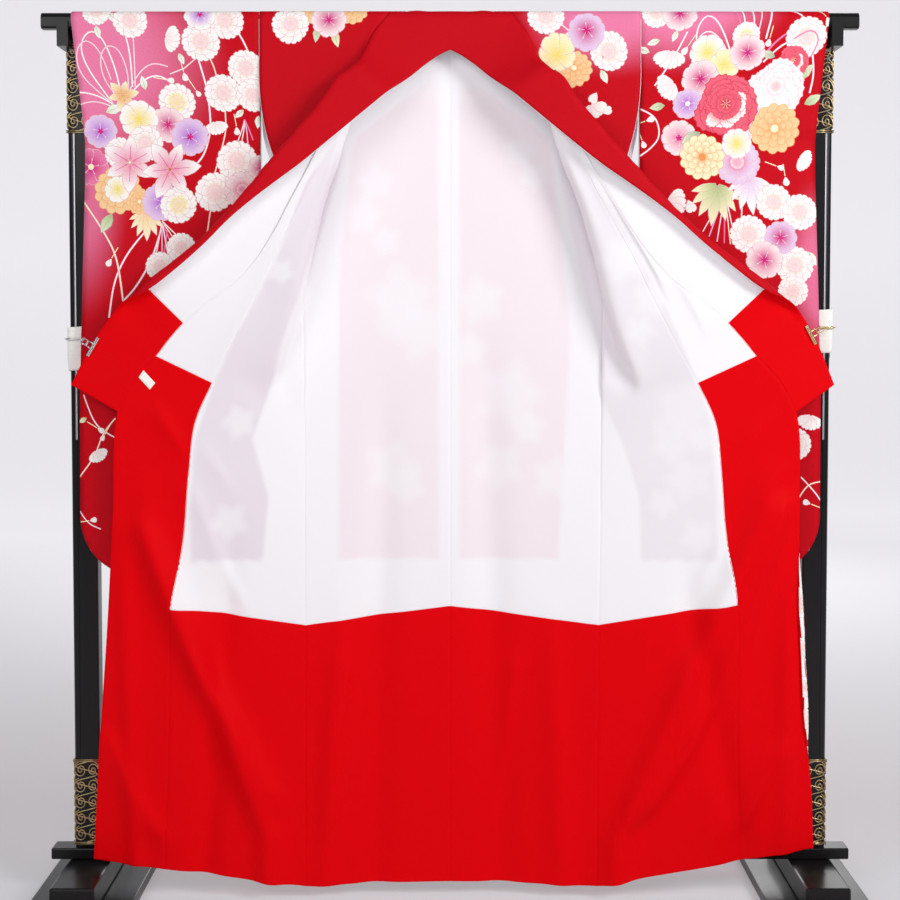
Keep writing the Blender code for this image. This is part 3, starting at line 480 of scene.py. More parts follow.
def back_cloth(side):
    shares = np.linspace(0.0, 1.0, 49)
    outs = shares * SHOULDER_OUT
    stations, sections = [], []
    for share in np.linspace(0.0, 1.0, 4):
        row = []
        for out in outs:
            start = neckline_angle(out)
            row.append(over_bar(out, -(start + (math.pi / 2 - start) * share)))
        stations.append(share * OVER_BAR)
        sections.append(row)
    for down in HANGING:
        edge, middle = along(BACK_SIDE, down), along(BACK_MIDDLE, down)
        row = middle + (edge - middle) * shares[:, None]
        row[:, 1] = middle[1] + (edge[1] - middle[1]) * shares ** 2
        row[:, 0] = shares * edge[0]
        stations.append(down)
        sections.append(row)
    return Cloth(side, stations, sections)


def collar_cloth(side):
    stations = collar_stations()
    sections = [measured(collar_section(down), np.linspace(0.0, 1.0, 61))
                for down in stations]
    return Cloth(side, stations, sections, row_step=5 * MM, soft=False)


class NeckBand:
    """The whole collar, one strip measured from its middle: the left half is below zero."""

    def __init__(self):
        self.halves = collar_cloth(-1), collar_cloth(1)
        downs, widths = self.halves[1].downs + NECK_OUT, self.halves[1].widths
        self.downs = np.concatenate((-downs[1:][::-1], downs))
        self.widths = np.concatenate((widths[1:][::-1], widths))

    def at(self, share, down, lift):
        places = self.halves[1].at(share, np.abs(down) - NECK_OUT, lift)
        left = down < 0
        if left.any():
            places[left] = self.halves[0].at(share[left], -down[left] - NECK_OUT, lift)
        return places

    def shares(self, across, down):
        return across / np.interp(down, self.downs, self.widths)


def sleeve_spread(out, height):
    """How far each layer of the sleeve stands from its middle: nothing along the sewn edges."""
    share = np.clip((out - SHOULDER_OUT) / (sleeve_edge(SLEEVE_BOTTOM) - SHOULDER_OUT), 0.0, 1.0)
    below = height - sleeve_bottom(share)
    beside = sleeve_edge(height) - out
    if height > WRIST_HEIGHT:
        beside = 1.0
    near_edge = min(max(below, 0.0), max(beside, 0.0))
    spread = np.interp(near_edge, (0.0, 0.006, 0.020, 0.06, 0.30), (0.9, 2.6, 4.4, 7.2, 8.6)) * MM
    near_bar = min(max((height - 1.38) / 0.20, 0.0), 1.0)
    return spread * (1 - near_bar) + (BAR_RADIUS + BAR_CLEARANCE + SLEEVE_WALL) * near_bar


def sleeve_wave(share, height):
    fade = np.clip((1.42 - height) / 0.35, 0.0, 1.0)
    return 2.6 * MM * fade * math.sin(2 * math.pi * (2.3 * share + 0.35 * height))


def sleeve_cloth(side):
    """One folded length: up the back, over the bar and down the front, from outer to inner edge."""
    radius = BAR_RADIUS + BAR_CLEARANCE + SLEEVE_WALL
    top = radius * math.pi / 2
    drop = BAR_CENTRE_HEIGHT - SLEEVE_BOTTOM
    hanging = np.linspace(0.0, drop, 86)[1:]
    stations = np.concatenate((-(top + hanging[::-1]), np.linspace(-top, top, 13), top + hanging))
    shares = np.linspace(0.0, 1.0, 61)
    sections = []
    for down in stations:
        face = 1 if down >= 0 else -1
        past = abs(down) - top
        height = BAR_CENTRE_HEIGHT - max(past, 0.0)
        edge = sleeve_edge(height)
        row = []
        for share in 1.0 - shares:
            out = SHOULDER_OUT + SEAM_GAP + share * (edge - SHOULDER_OUT - SEAM_GAP)
            if past < 0:
                angle = down / radius
                row.append((out, radius * math.sin(angle),
                            BAR_CENTRE_HEIGHT + radius * math.cos(angle)))
                continue
            fore = face * sleeve_spread(out, height)
            fore += sleeve_wave(share, height) * (1 if side < 0 else -1)
            row.append((out, fore, height))
        sections.append(row)
    return Cloth(side, stations, sections, row_step=5 * MM, soft=False, body=False)


# Making the pieces

def dye(red, green, blue):
    """A dye's colour as linear light, from its screen values."""
    parts = np.array((red, green, blue)) / 255
    return np.where(parts <= 0.04045, parts / 12.92, ((parts + 0.055) / 1.055) ** 2.4)


def mesh_of(name, shape):
    """The finished mesh of a bmesh, which is freed."""
    data = bpy.data.meshes.new(name)
    shape.to_mesh(data)
    shape.free()
    return data


def in_scene(name, data):
    """A new object in the scene, at the origin."""
    item = bpy.data.objects.new(name, data)
    bpy.context.scene.collection.objects.link(item)
    return item


def laid_out(name, mesh, uv, normal_towards, materials, thickness):
    """A sheet's object: faces turned to its outside, UVs in metres and a thickness inwards."""
    mesh.normal_update()
    centre = [face for face in mesh.faces][:: max(len(mesh.faces) // 400, 1)]
    turned = sum(face.normal.dot(Vector(normal_towards[face.verts[0].index])) for face in centre)
    if turned < 0:
        bmesh.ops.reverse_faces(mesh, faces=mesh.faces)
    layer = mesh.loops.layers.uv.new("UVMap")
    for face in mesh.faces:
        face.smooth = True
        for loop in face.loops:
            loop[layer].uv = uv[loop.vert.index]
    data = mesh_of(name, mesh)
    for material in materials:
        data.materials.append(material)
    item = in_scene(name, data)
    wall = item.modifiers.new("thickness", "SOLIDIFY")
    wall.thickness = thickness
    wall.offset = -1.0
    wall.material_offset = len(materials) - 1
    wall.material_offset_rim = 0
    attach(item, "root")
    return item


def seamed(width, count):
    """Shares across a panel, with close columns beside its two seams."""
    beside = np.array((-0.7, 0.2, 1.1, 2.2, 4.2)) * MM / width
    return np.concatenate((beside, np.linspace(beside[-1], 1.0 - beside[-1], count)[1:-1],
                           1.0 - beside[::-1]))


def plain_sheet(name, cloth, shares, downs, lift, thickness, materials, tint=None):
    """An unprinted lining on part of a panel, drawn in a little along its seams."""
    mesh = bmesh.new()
    bmesh.ops.create_grid(mesh, x_segments=len(shares) - 1, y_segments=len(downs) - 1, size=1.0)
    mesh.verts.ensure_lookup_table()
    flat = np.array([vertex.co[:2] for vertex in mesh.verts])
    share = np.interp(flat[:, 0], np.linspace(-1, 1, len(shares)), shares)
    down = np.interp(flat[:, 1], np.linspace(-1, 1, len(downs)), downs)
    from_seam = np.minimum(np.minimum(share, 1.0 - share) * cloth.widths.mean(),
                           np.minimum(down - downs[0], downs[-1] - down))
    lift = lift + SEAM_DEPTH * np.exp(-(from_seam / SEAM_REACH) ** 2)
    inner = cloth.at(share, down, lift)
    outer = cloth.at(share, down, lift - 0.01)
    for vertex, place in zip(mesh.verts, inner):
        vertex.co = place
    towards = outer - inner
    uv = np.stack((share * cloth.widths.mean(), down), axis=1)
    item = laid_out(name, mesh, uv, towards, materials, thickness)
    if tint is not None:
        layer = item.data.color_attributes.new("print", "FLOAT_COLOR", "POINT")
        colours = np.ones((len(share), 4), np.float32)
        colours[:, :3] = tint(inner)
        layer.data.foreach_set("color", colours.ravel())
    return item


def around(corners):
    """A triangle's three edges, in order."""
    return zip(corners, (corners[1], corners[2], corners[0]))


def seen_only(spots, triangles, grid):
    """The sheet cut again along those edges of its print that no other patch lies over."""
    tops = {pair: top for corners, top in triangles.items() for pair in around(corners)}
    tops = {pair: top for pair, top in tops.items() if tops.get(pair[::-1]) != top}
    inside = {spot for corners in triangles for spot in corners}
    used = sorted({spot for pair in tops for spot in pair} | (grid & inside))
    place = {spot: k for k, spot in enumerate(used)}
    edges = {tuple(sorted((place[a], place[b]))) for a, b in tops}
    spots, lines, triangles, origins, sources, _ = delaunay_2d_cdt(
        [spots[k] for k in used], list(edges), [], 0, 1e-6)
    now = {old: k for k, olds in enumerate(origins) for old in olds}
    tops = {(now[place[a]], now[place[b]]): top for (a, b), top in tops.items()}
    barred = {tuple(sorted(line)) for line, source in zip(lines, sources) if source}
    owner = {pair: k for k, corners in enumerate(triangles) for pair in around(corners)}
    found, waiting = {}, [(owner[pair], top) for pair, top in tops.items() if pair in owner]
    while waiting:
        k, top = waiting.pop()
        if k not in found:
            found[k] = top
            waiting += [(owner[b, a], top) for a, b in around(triangles[k])
                        if (b, a) in owner and tuple(sorted((a, b))) not in barred]
    return spots, [(corners, found.get(k, 0)) for k, corners in enumerate(triangles)]


def printed_sheet(name, cloth, outline, patches, ground, step, lift, thickness, materials,
                  every=1):
    """A sheet whose mesh is cut along the edges of its print, each face in one dye."""
    width = cloth.widths.mean()
    points = [tuple(point) for point in outline]
    faces = [list(range(len(points)))]
    for patch in patches:
        shape = np.array(patch["outline"])
        across = cloth.shares(shape[:, 0], shape[:, 1]) * width
        shape = np.stack((across, shape[:, 1]), axis=1)
        ahead = np.roll(shape, -1, axis=0)
        if (shape[:, 0] * ahead[:, 1] - ahead[:, 0] * shape[:, 1]).sum() < 0:
            shape = shape[::-1]
        faces.append(list(range(len(points), len(points) + len(shape))))
        points += [tuple(point) for point in shape]
    low, high = outline.min(axis=0), outline.max(axis=0)
    columns = np.linspace(low[0], high[0], int((high[0] - low[0]) / step) + 1)[1:-1]
    bends = cloth.downs[(cloth.downs > low[1] + MM) & (cloth.downs < high[1] - MM)]
    bends = [down for k, down in enumerate(bends) if k % every == 0 or abs(down) < 60 * MM]
    for down in bends:
        points += [(across, down) for across in columns]
    spots, _, triangles, origins, _, sources = delaunay_2d_cdt(
        [Vector(point) for point in points], [], faces, 0, 1e-6)
    kept = {corners: max(source) for corners, source in zip(map(tuple, triangles), sources)
            if 0 in source}
    drawn = len(points) - len(columns) * len(bends)
    grid = {k for k, source in enumerate(origins) if source and max(source) >= drawn}
    spots, kept = seen_only(spots, kept, grid)
    flat = np.array([tuple(spot) for spot in spots])
    used, turned = np.unique([corners for corners, _ in kept], return_inverse=True)
    flat, turned = flat[used], turned.reshape(-1, 3)
    share = flat[:, 0] / width
    inner = cloth.at(share, flat[:, 1], lift)
    outer = cloth.at(share, flat[:, 1], lift + 0.01)
    mesh = bmesh.new()
    layer = mesh.faces.layers.int.new("dye")
    verts = [mesh.verts.new(place) for place in inner]
    mesh.verts.index_update()
    for corners, (_, top) in zip(turned, kept):
        mesh.faces.new([verts[k] for k in corners])[layer] = top
    item = laid_out(name, mesh, flat, outer - inner, materials, thickness)
    paint(item, patches, ground, cloth, width)
    return item


def paint(item, patches, ground, cloth, width):
    """Each corner's colour: the ground's, or its patch's dye between its core and its rim."""
    data = item.data
    count = len(data.loops)
    corner_uv = np.empty(count * 2, np.float32)
    data.uv_layers[0].data.foreach_get("uv", corner_uv)
    corner_uv = corner_uv.reshape(-1, 2).astype(float)
    down = corner_uv[:, 1]
    across = corner_uv[:, 0] / width * np.interp(down, cloth.downs, cloth.widths)
    tops = np.empty(len(data.polygons), np.int32)
    data.attributes["dye"].data.foreach_get("value", tops)
    totals = np.empty(len(data.polygons), np.int32)
    data.polygons.foreach_get("loop_total", totals)
    tops = np.repeat(tops, totals)
    colours = ground(across, down)
    if patches:
        core = np.array([patch["core"] for patch in patches])
        rim = np.array([patch["rim"] for patch in patches])
        centre = np.array([patch["centre"] for patch in patches])
        near = np.array([patch["near"] for patch in patches])
        far = np.array([patch["far"] for patch in patches])
        dyed = tops > 0
        which = tops[dyed] - 1
        away = np.hypot(across[dyed] - centre[which, 0], down[dyed] - centre[which, 1])
        share = np.clip((away - near[which]) / (far[which] - near[which]), 0.0, 1.0)[:, None]
        colours[dyed] = core[which] * (1 - share) + rim[which] * share
    layer = data.color_attributes.new("print", "FLOAT_COLOR", "CORNER")
    rows = np.ones((count, 4), np.float32)
    rows[:, :3] = colours
    layer.data.foreach_set("color", rows.ravel())
    data.attributes.remove(data.attributes["dye"])


def edge_loop(low, high, corner=0.0, both=False, step=6 * MM):
    """A rectangle's outline, walked round once; its corners at the low X end may be round."""
    corners = []
    arc = np.linspace(0.0, math.pi / 2, 13)
    if corner and both:
        corners += [(low[0] + corner - corner * math.cos(turn), low[1] + corner
                     - corner * math.sin(turn)) for turn in arc]
    else:
        corners.append((low[0], low[1]))
    corners += [(high[0], low[1]), (high[0], high[1])]
    if corner:
        corners += [(low[0] + corner - corner * math.sin(turn), high[1] - corner
                     + corner * math.cos(turn)) for turn in arc]
    else:
        corners.append((low[0], high[1]))
    corners = np.array(corners)
    line = []
    for a, b in zip(corners, np.roll(corners, -1, axis=0)):
        count = max(int(np.linalg.norm(b - a) / step), 1)
        line += [a + (b - a) * k / count for k in range(count)]
    return np.array(line)


# The print: flowers, leaves and cords, in millimetres across and down a panel

# Half outlines of petals and leaves: shares of the length and of the width.
CHERRY_PETAL = ((0.10, 0.04), (0.34, 0.30), (0.60, 0.49), (0.82, 0.48), (0.96, 0.31),
                (1.00, 0.12), (0.93, 0.0))
ROUND_PETAL = ((0.10, 0.06), (0.35, 0.32), (0.62, 0.50), (0.85, 0.44), (0.97, 0.20), (1.00, 0.0))
LILY_PETAL = ((0.05, 0.10), (0.28, 0.33), (0.52, 0.42), (0.76, 0.30), (0.92, 0.11), (1.00, 0.0))
RUFFLED_PETAL = ((0.10, 0.08), (0.32, 0.36), (0.58, 0.52), (0.74, 0.54), (0.80, 0.42),
                 (0.91, 0.40), (0.93, 0.24), (1.00, 0.16), (0.96, 0.0))
LEAF = ((0.0, 0.02), (0.22, 0.32), (0.48, 0.44), (0.76, 0.27), (1.00, 0.0))

WHITE = dye(255, 252, 248)
CREAM = dye(255, 246, 205)
BLUSH = dye(254, 232, 234)
PALE_LILAC = dye(232, 205, 236)
SHADE = dye(234, 192, 200)
CORE_PINK = dye(248, 206, 204)
PINK = dye(240, 130, 172)
ROSE = dye(238, 184, 203)
MAGENTA = dye(214, 40, 130)
PURPLE = dye(188, 110, 214)
APRICOT = dye(252, 212, 160)
ORANGE = dye(238, 156, 88)
CORAL = dye(240, 104, 124)
DEEP_CORAL = dye(214, 48, 80)
YELLOW = dye(250, 226, 120)
LEAF_GREEN = dye(176, 196, 132)
PALE_GREEN = dye(226, 232, 200)
LEAF_GREY = dye(170, 180, 160)
CRIMSON = dye(200, 8, 26)
GROUND_PINK = dye(238, 128, 168)


class Print:
    """Patches of dye laid one over another, in millimetres across and down a panel."""

    def __init__(self, fine=True):
        self.patches = []
        self.fine = fine

    def patch(self, outline, core, rim=None, centre=(0.0, 0.0), near=0.0, far=1.0):
        self.patches.append({"outline": np.array(outline) * MM, "core": core,
                             "rim": core if rim is None else rim,
                             "centre": np.array(centre) * MM, "near": near * MM,
                             "far": far * MM})

    def petal(self, x, y, angle, length, width, form, core, rim, start=0.0, shade=SHADE):
        """One petal from a flower's centre, which a fine print edges with a thin shade."""
        cos, sin = math.cos(angle), math.sin(angle)
        for grow, inner, outer in ((1.0, shade, shade), (0.92, core, rim))[not self.fine:]:
            half = [(a * length, b * width * grow) for a, b in form]
            if grow < 1.0:
                half = [(a * 0.965 + 0.01 * length, b) for a, b in half]
            line = half + [(a, -b) for a, b in reversed(half) if b]
            self.patch([(x + a * cos - b * sin, y + a * sin + b * cos) for a, b in line],
                       inner, outer, (x, y), start * length, 0.84 * length)

    def dot(self, x, y, radius, colour, rim=None, sides=9):
        turns = np.arange(sides) * 2 * math.pi / sides
        self.patch([(x + radius * math.cos(t), y + radius * math.sin(t)) for t in turns],
                   colour, rim, (x, y), 0.0, radius)

    def stamens(self, x, y, inner, outer, count, turn, colour, tip):
        for k in range(count if self.fine else 0):
            angle = turn + 2 * math.pi * k / count
            a = np.array((math.cos(angle), math.sin(angle)))
            self.strip((np.array((x, y)) + a * inner, np.array((x, y)) + a * outer), 0.5, colour)
            self.dot(x + a[0] * outer, y + a[1] * outer, 1.0, tip, sides=6)

    def strip(self, points, width, colour, end_colour=None):
        """A line of even width along points, in short straight lengths."""
        points = np.array(points, float)
        ahead = np.gradient(points, axis=0)
        ahead /= np.linalg.norm(ahead, axis=1, keepdims=True)
        aside = np.stack((-ahead[:, 1], ahead[:, 0]), axis=1) * width / 2
        end_colour = colour if end_colour is None else end_colour
        for k in range(len(points) - 1):
            share = k / max(len(points) - 2, 1)
            self.patch((points[k] + aside[k], points[k + 1] + aside[k + 1],
                        points[k + 1] - aside[k + 1], points[k] - aside[k]),
                       colour * (1 - share) + end_colour * share)

    def cord(self, points, width=3.2, colour=WHITE, end_colour=None, edge=PINK):
        """A printed cord on a smooth line, with a thin edge of another colour."""
        line = rounded([(x, y, 0.0) for x, y in points], 3)
        length = np.linalg.norm(np.diff(line, axis=0), axis=1).sum()
        line = measured(line, np.linspace(0.0, 1.0, max(int(length / 7), 3)))[:, :2]
        self.strip(line, width, edge)
        self.strip(line, width * 0.62, colour, end_colour)

    def cherry(self, x, y, radius, turn=0.3, core=CORE_PINK, rim=WHITE, eye=None):
        """A double cherry blossom: two rings of notched petals round a tuft of stamens."""
        for count, reach, offset in ((9, 1.0, 0.0), (8, 0.68, 0.35)):
            for k in range(count):
                angle = turn + offset + 2 * math.pi * k / count
                self.petal(x, y, angle, radius * reach, radius * reach * 0.80, CHERRY_PETAL,
                           core if reach < 1 else BLUSH, rim, 0.35)
        self.dot(x, y, radius * 0.30, core if eye is None else eye, BLUSH, 12)
        self.stamens(x, y, radius * 0.12, radius * 0.42, 9, turn, core, YELLOW)

    def plum(self, x, y, radius, turn, core, rim, mid=None):
        """A five-petalled blossom, dark at the eye and pale at the rim."""
        for k in range(5):
            self.petal(x, y, turn + 2 * math.pi * k / 5, radius, radius * 1.12, CHERRY_PETAL,
                       core, rim, 0.12)
        self.dot(x, y, radius * 0.17, core if mid is None else mid)
        self.stamens(x, y, radius * 0.10, radius * 0.42, 5, turn + 0.6, WHITE, WHITE)

    def lily(self, x, y, radius, turn, core=PINK, rim=WHITE, vein=MAGENTA, count=6):
        for k in range(count):
            angle = turn + 2 * math.pi * k / count
            reach = radius * (1.0 if k % 2 else 0.88)
            self.petal(x, y, angle, reach, reach * 0.62, LILY_PETAL, core, rim, 0.05)
            ahead = np.array((math.cos(angle), math.sin(angle)))
            start = np.array((x, y))
            self.strip((start + ahead * reach * 0.12, start + ahead * reach * 0.62), 0.9, vein)
        self.stamens(x, y, 1.0, radius * 0.30, 6, turn + 0.5, YELLOW, ORANGE)

    def mum(self, x, y, radius, turn, core=ORANGE, rim=APRICOT, eye=CREAM, count=13):
        for ring, reach in enumerate((1.0, 0.72, 0.46)):
            for k in range(count - 3 * ring):
                angle = turn + 0.2 * ring + 2 * math.pi * k / (count - 3 * ring)
                self.petal(x, y, angle, radius * reach, radius * reach * 0.52, ROUND_PETAL,
                           core, rim, 0.15, shade=core * 0.8 + rim * 0.2)
        self.dot(x, y, radius * 0.16, eye)

    def peony(self, x, y, radius, turn, core=DEEP_CORAL, rim=CORAL, lip=WHITE):
        """A peony: a ruff, a ring whose front petals turn a pale edge over, and a closed bowl."""
        shade = core * 0.7 + rim * 0.3
        for count, reach in ((8, 1.0), (7, 0.84)):
            for k in range(count):
                long = reach * (1.02 - 0.10 * (k % 3 == 1) - 0.06 * (k % 2))
                self.petal(x, y, turn + (k + 3 * reach) * 2 * math.pi / count, radius * long,
                           radius * reach * 0.86, RUFFLED_PETAL, core, rim, 0.35, shade=shade)
        front = math.pi / 2 - 0.95 + turn
        x, y = x - radius * 0.04, y - radius * 0.08
        for k in (-3, 3, -2, 2, -1, 1, 0):
            self.petal(x, y, front + math.pi + k * 0.44, radius * 0.62, radius * 0.52,
                       RUFFLED_PETAL, core, rim, 0.25, shade=shade)
        for k in (-3, 2, -1, 3, -2, 1, 0):
            reach = radius * (0.68 + 0.05 * (k % 2) + 0.03 * k)
            self.petal(x, y, front + k * 0.42, reach, radius * 0.44, RUFFLED_PETAL,
                       rim, lip, 0.5, shade=rim)
        for count, reach in ((6, 0.48), (5, 0.28)):
            for k in range(count):
                self.petal(x, y, front + (k + reach) * 2 * math.pi / count, radius * reach,
                           radius * reach * 1.1, RUFFLED_PETAL, core, rim, 0.2, shade=shade)
        self.stamens(x, y, radius * 0.02, radius * 0.13, 7, turn, lip, YELLOW)

    def leaf(self, x, y, angle, length, colour=LEAF_GREEN, pale=PALE_GREEN, width=0.62):
        self.petal(x, y, math.radians(angle), length, length * width, LEAF, colour, pale, 0.0,
                   shade=LEAF_GREY)
        ahead = np.array((math.cos(math.radians(angle)), math.sin(math.radians(angle))))
        start = np.array((x, y))
        self.strip((start + ahead * length * 0.08, start + ahead * length * 0.8), 0.6, LEAF_GREY)

    def star(self, x, y, radius, turn, core=LEAF_GREEN, rim=CREAM, count=7):
        """Long pointed leaves that spread below a bouquet."""
        for k in range(count):
            angle = turn + (k - (count - 1) / 2) * 2.6 / count
            reach = radius * (1.0 - 0.12 * abs(k - (count - 1) / 2))
            self.petal(x, y, angle, reach, reach * 0.34, LILY_PETAL, core, rim, 0.1)

    def loose(self, x, y, size, angle, core=BLUSH, rim=WHITE):
        self.petal(x, y, math.radians(angle), size, size * 0.80, CHERRY_PETAL, core, rim)

    def fan(self, x, y, size, angle):
        """A blossom seen from the side."""
        for k in range(4):
            self.petal(x, y, math.radians(angle + (k - 1.5) * 30), size, size * 0.62,
                       CHERRY_PETAL, BLUSH, WHITE, 0.2)

    def bud(self, x, y, size, angle, stalk=22):
        cos, sin = math.cos(math.radians(angle)), math.sin(math.radians(angle))
        self.strip(((x - cos * stalk, y - sin * stalk), (x, y)), 1.6, CREAM, WHITE)
        self.petal(x, y, math.radians(angle), size, size * 0.7, ROUND_PETAL, BLUSH, WHITE)

    def tassel(self, x, y, ends):
        """Loose cord ends that hang from a knot."""
        for k, (a, b) in enumerate(ends):
            colour = (WHITE, PALE_LILAC, WHITE, PINK, CREAM)[k % 5]
            middle = (x * 0.4 + a * 0.6 - (a - x) * 0.12, (y + b) / 2)
            self.cord(((x, y), middle, (a, b)), 2.6, colour, edge=MAGENTA * 0.5 + PINK * 0.5)

    def add(self, parts):
        """Draws rows of (kind, values), each over the last."""
        for kind, values in parts:
            getattr(self, kind)(*values)

    def moved(self, other, x, y, across=1, down=1):
        """Another print's patches, shifted, and turned over either way where asked."""
        for patch in other.patches:
            new = dict(patch)
            for key in ("outline", "centre"):
                new[key] = patch[key] * (across, down) + np.array((x, y)) * MM
            self.patches.append(new)


def spray(parts):
    """A small print of its own, drawn more simply, from rows of (kind, values)."""
    p = Print(fine=False)
    p.add(parts)
    return p


def back_spray():
    """The loose spray that the back and the sleeves' backs carry."""
    return spray((
        ("cord", (((-70, 60), (-40, 10), (10, -40), (60, -60)), 3.6, WHITE)),
        ("cord", (((20, 40), (60, 90), (66, 150)), 3.2, CREAM)),
        ("cord", (((-20, 40), (-60, 100), (-58, 160)), 3.2, WHITE)),
        ("bud", (66, 162, 17, 90)), ("bud", (-58, 172, 17, 100)), ("leaf", (-84, 20, 160, 32)),
        ("leaf", (78, 30, 20, 34)), ("leaf", (30, 70, 70, 34, PALE_GREEN, WHITE)),
        ("star", (0, 52, 62, 1.57, LEAF_GREEN, CREAM)), ("fan", (86, -44, 30, -40)),
        ("mum", (-36, 34, 36, 0.2)), ("plum", (40, 34, 33, 0.4, PURPLE, PALE_LILAC, MAGENTA)),
        ("plum", (-58, -14, 32, 0.1, MAGENTA, BLUSH)), ("cherry", (54, -20, 34, 0.3)),
        ("cherry", (-24, -46, 33, 0.6)), ("plum", (22, -52, 30, 0.9, YELLOW, WHITE)),
        ("peony", (0, 0, 46, 0.2))))


def cherry_spray():
    """A hanging branch of double cherries."""
    return spray((
        ("cord", (((50, -110), (20, -60), (0, 0)), 3.4, CREAM)),
        ("cord", (((0, 0), (-30, 50), (-34, 110)), 3.0, WHITE)),
        ("cord", (((6, 10), (34, 60), (30, 120)), 3.0, CREAM)),
        ("bud", (-34, 122, 17, 95)), ("bud", (30, 132, 17, 85)), ("leaf", (48, -104, -60, 34)),
        ("leaf", (-14, -66, 200, 30, PALE_GREEN, WHITE)), ("fan", (-62, 20, 30, 150)),
        ("cherry", (34, -44, 34, 0.1)), ("cherry", (-30, -34, 33, 0.5)),
        ("plum", (44, 22, 30, 0.3, MAGENTA, BLUSH)), ("cherry", (2, 14, 36, 0.8)),
        ("cherry", (-22, 66, 26, 0.2))))


def ground_of(points, reach):
    """A ground of crimson that fades to pink round given places, in millimetres."""
    def ground(across, down):
        pink = np.zeros(len(across))
        for x, y, half_width, half_height, strength in points:
            away = np.hypot((across / MM - x) / half_width, (down / MM - y) / half_height)
            pink = np.maximum(pink, strength * np.clip(reach * (1.0 - away), 0.0, 1.0))
        pink = (pink * pink * (3 - 2 * pink))[:, None]
        return CRIMSON * (1 - pink) + GROUND_PINK * pink
    return ground


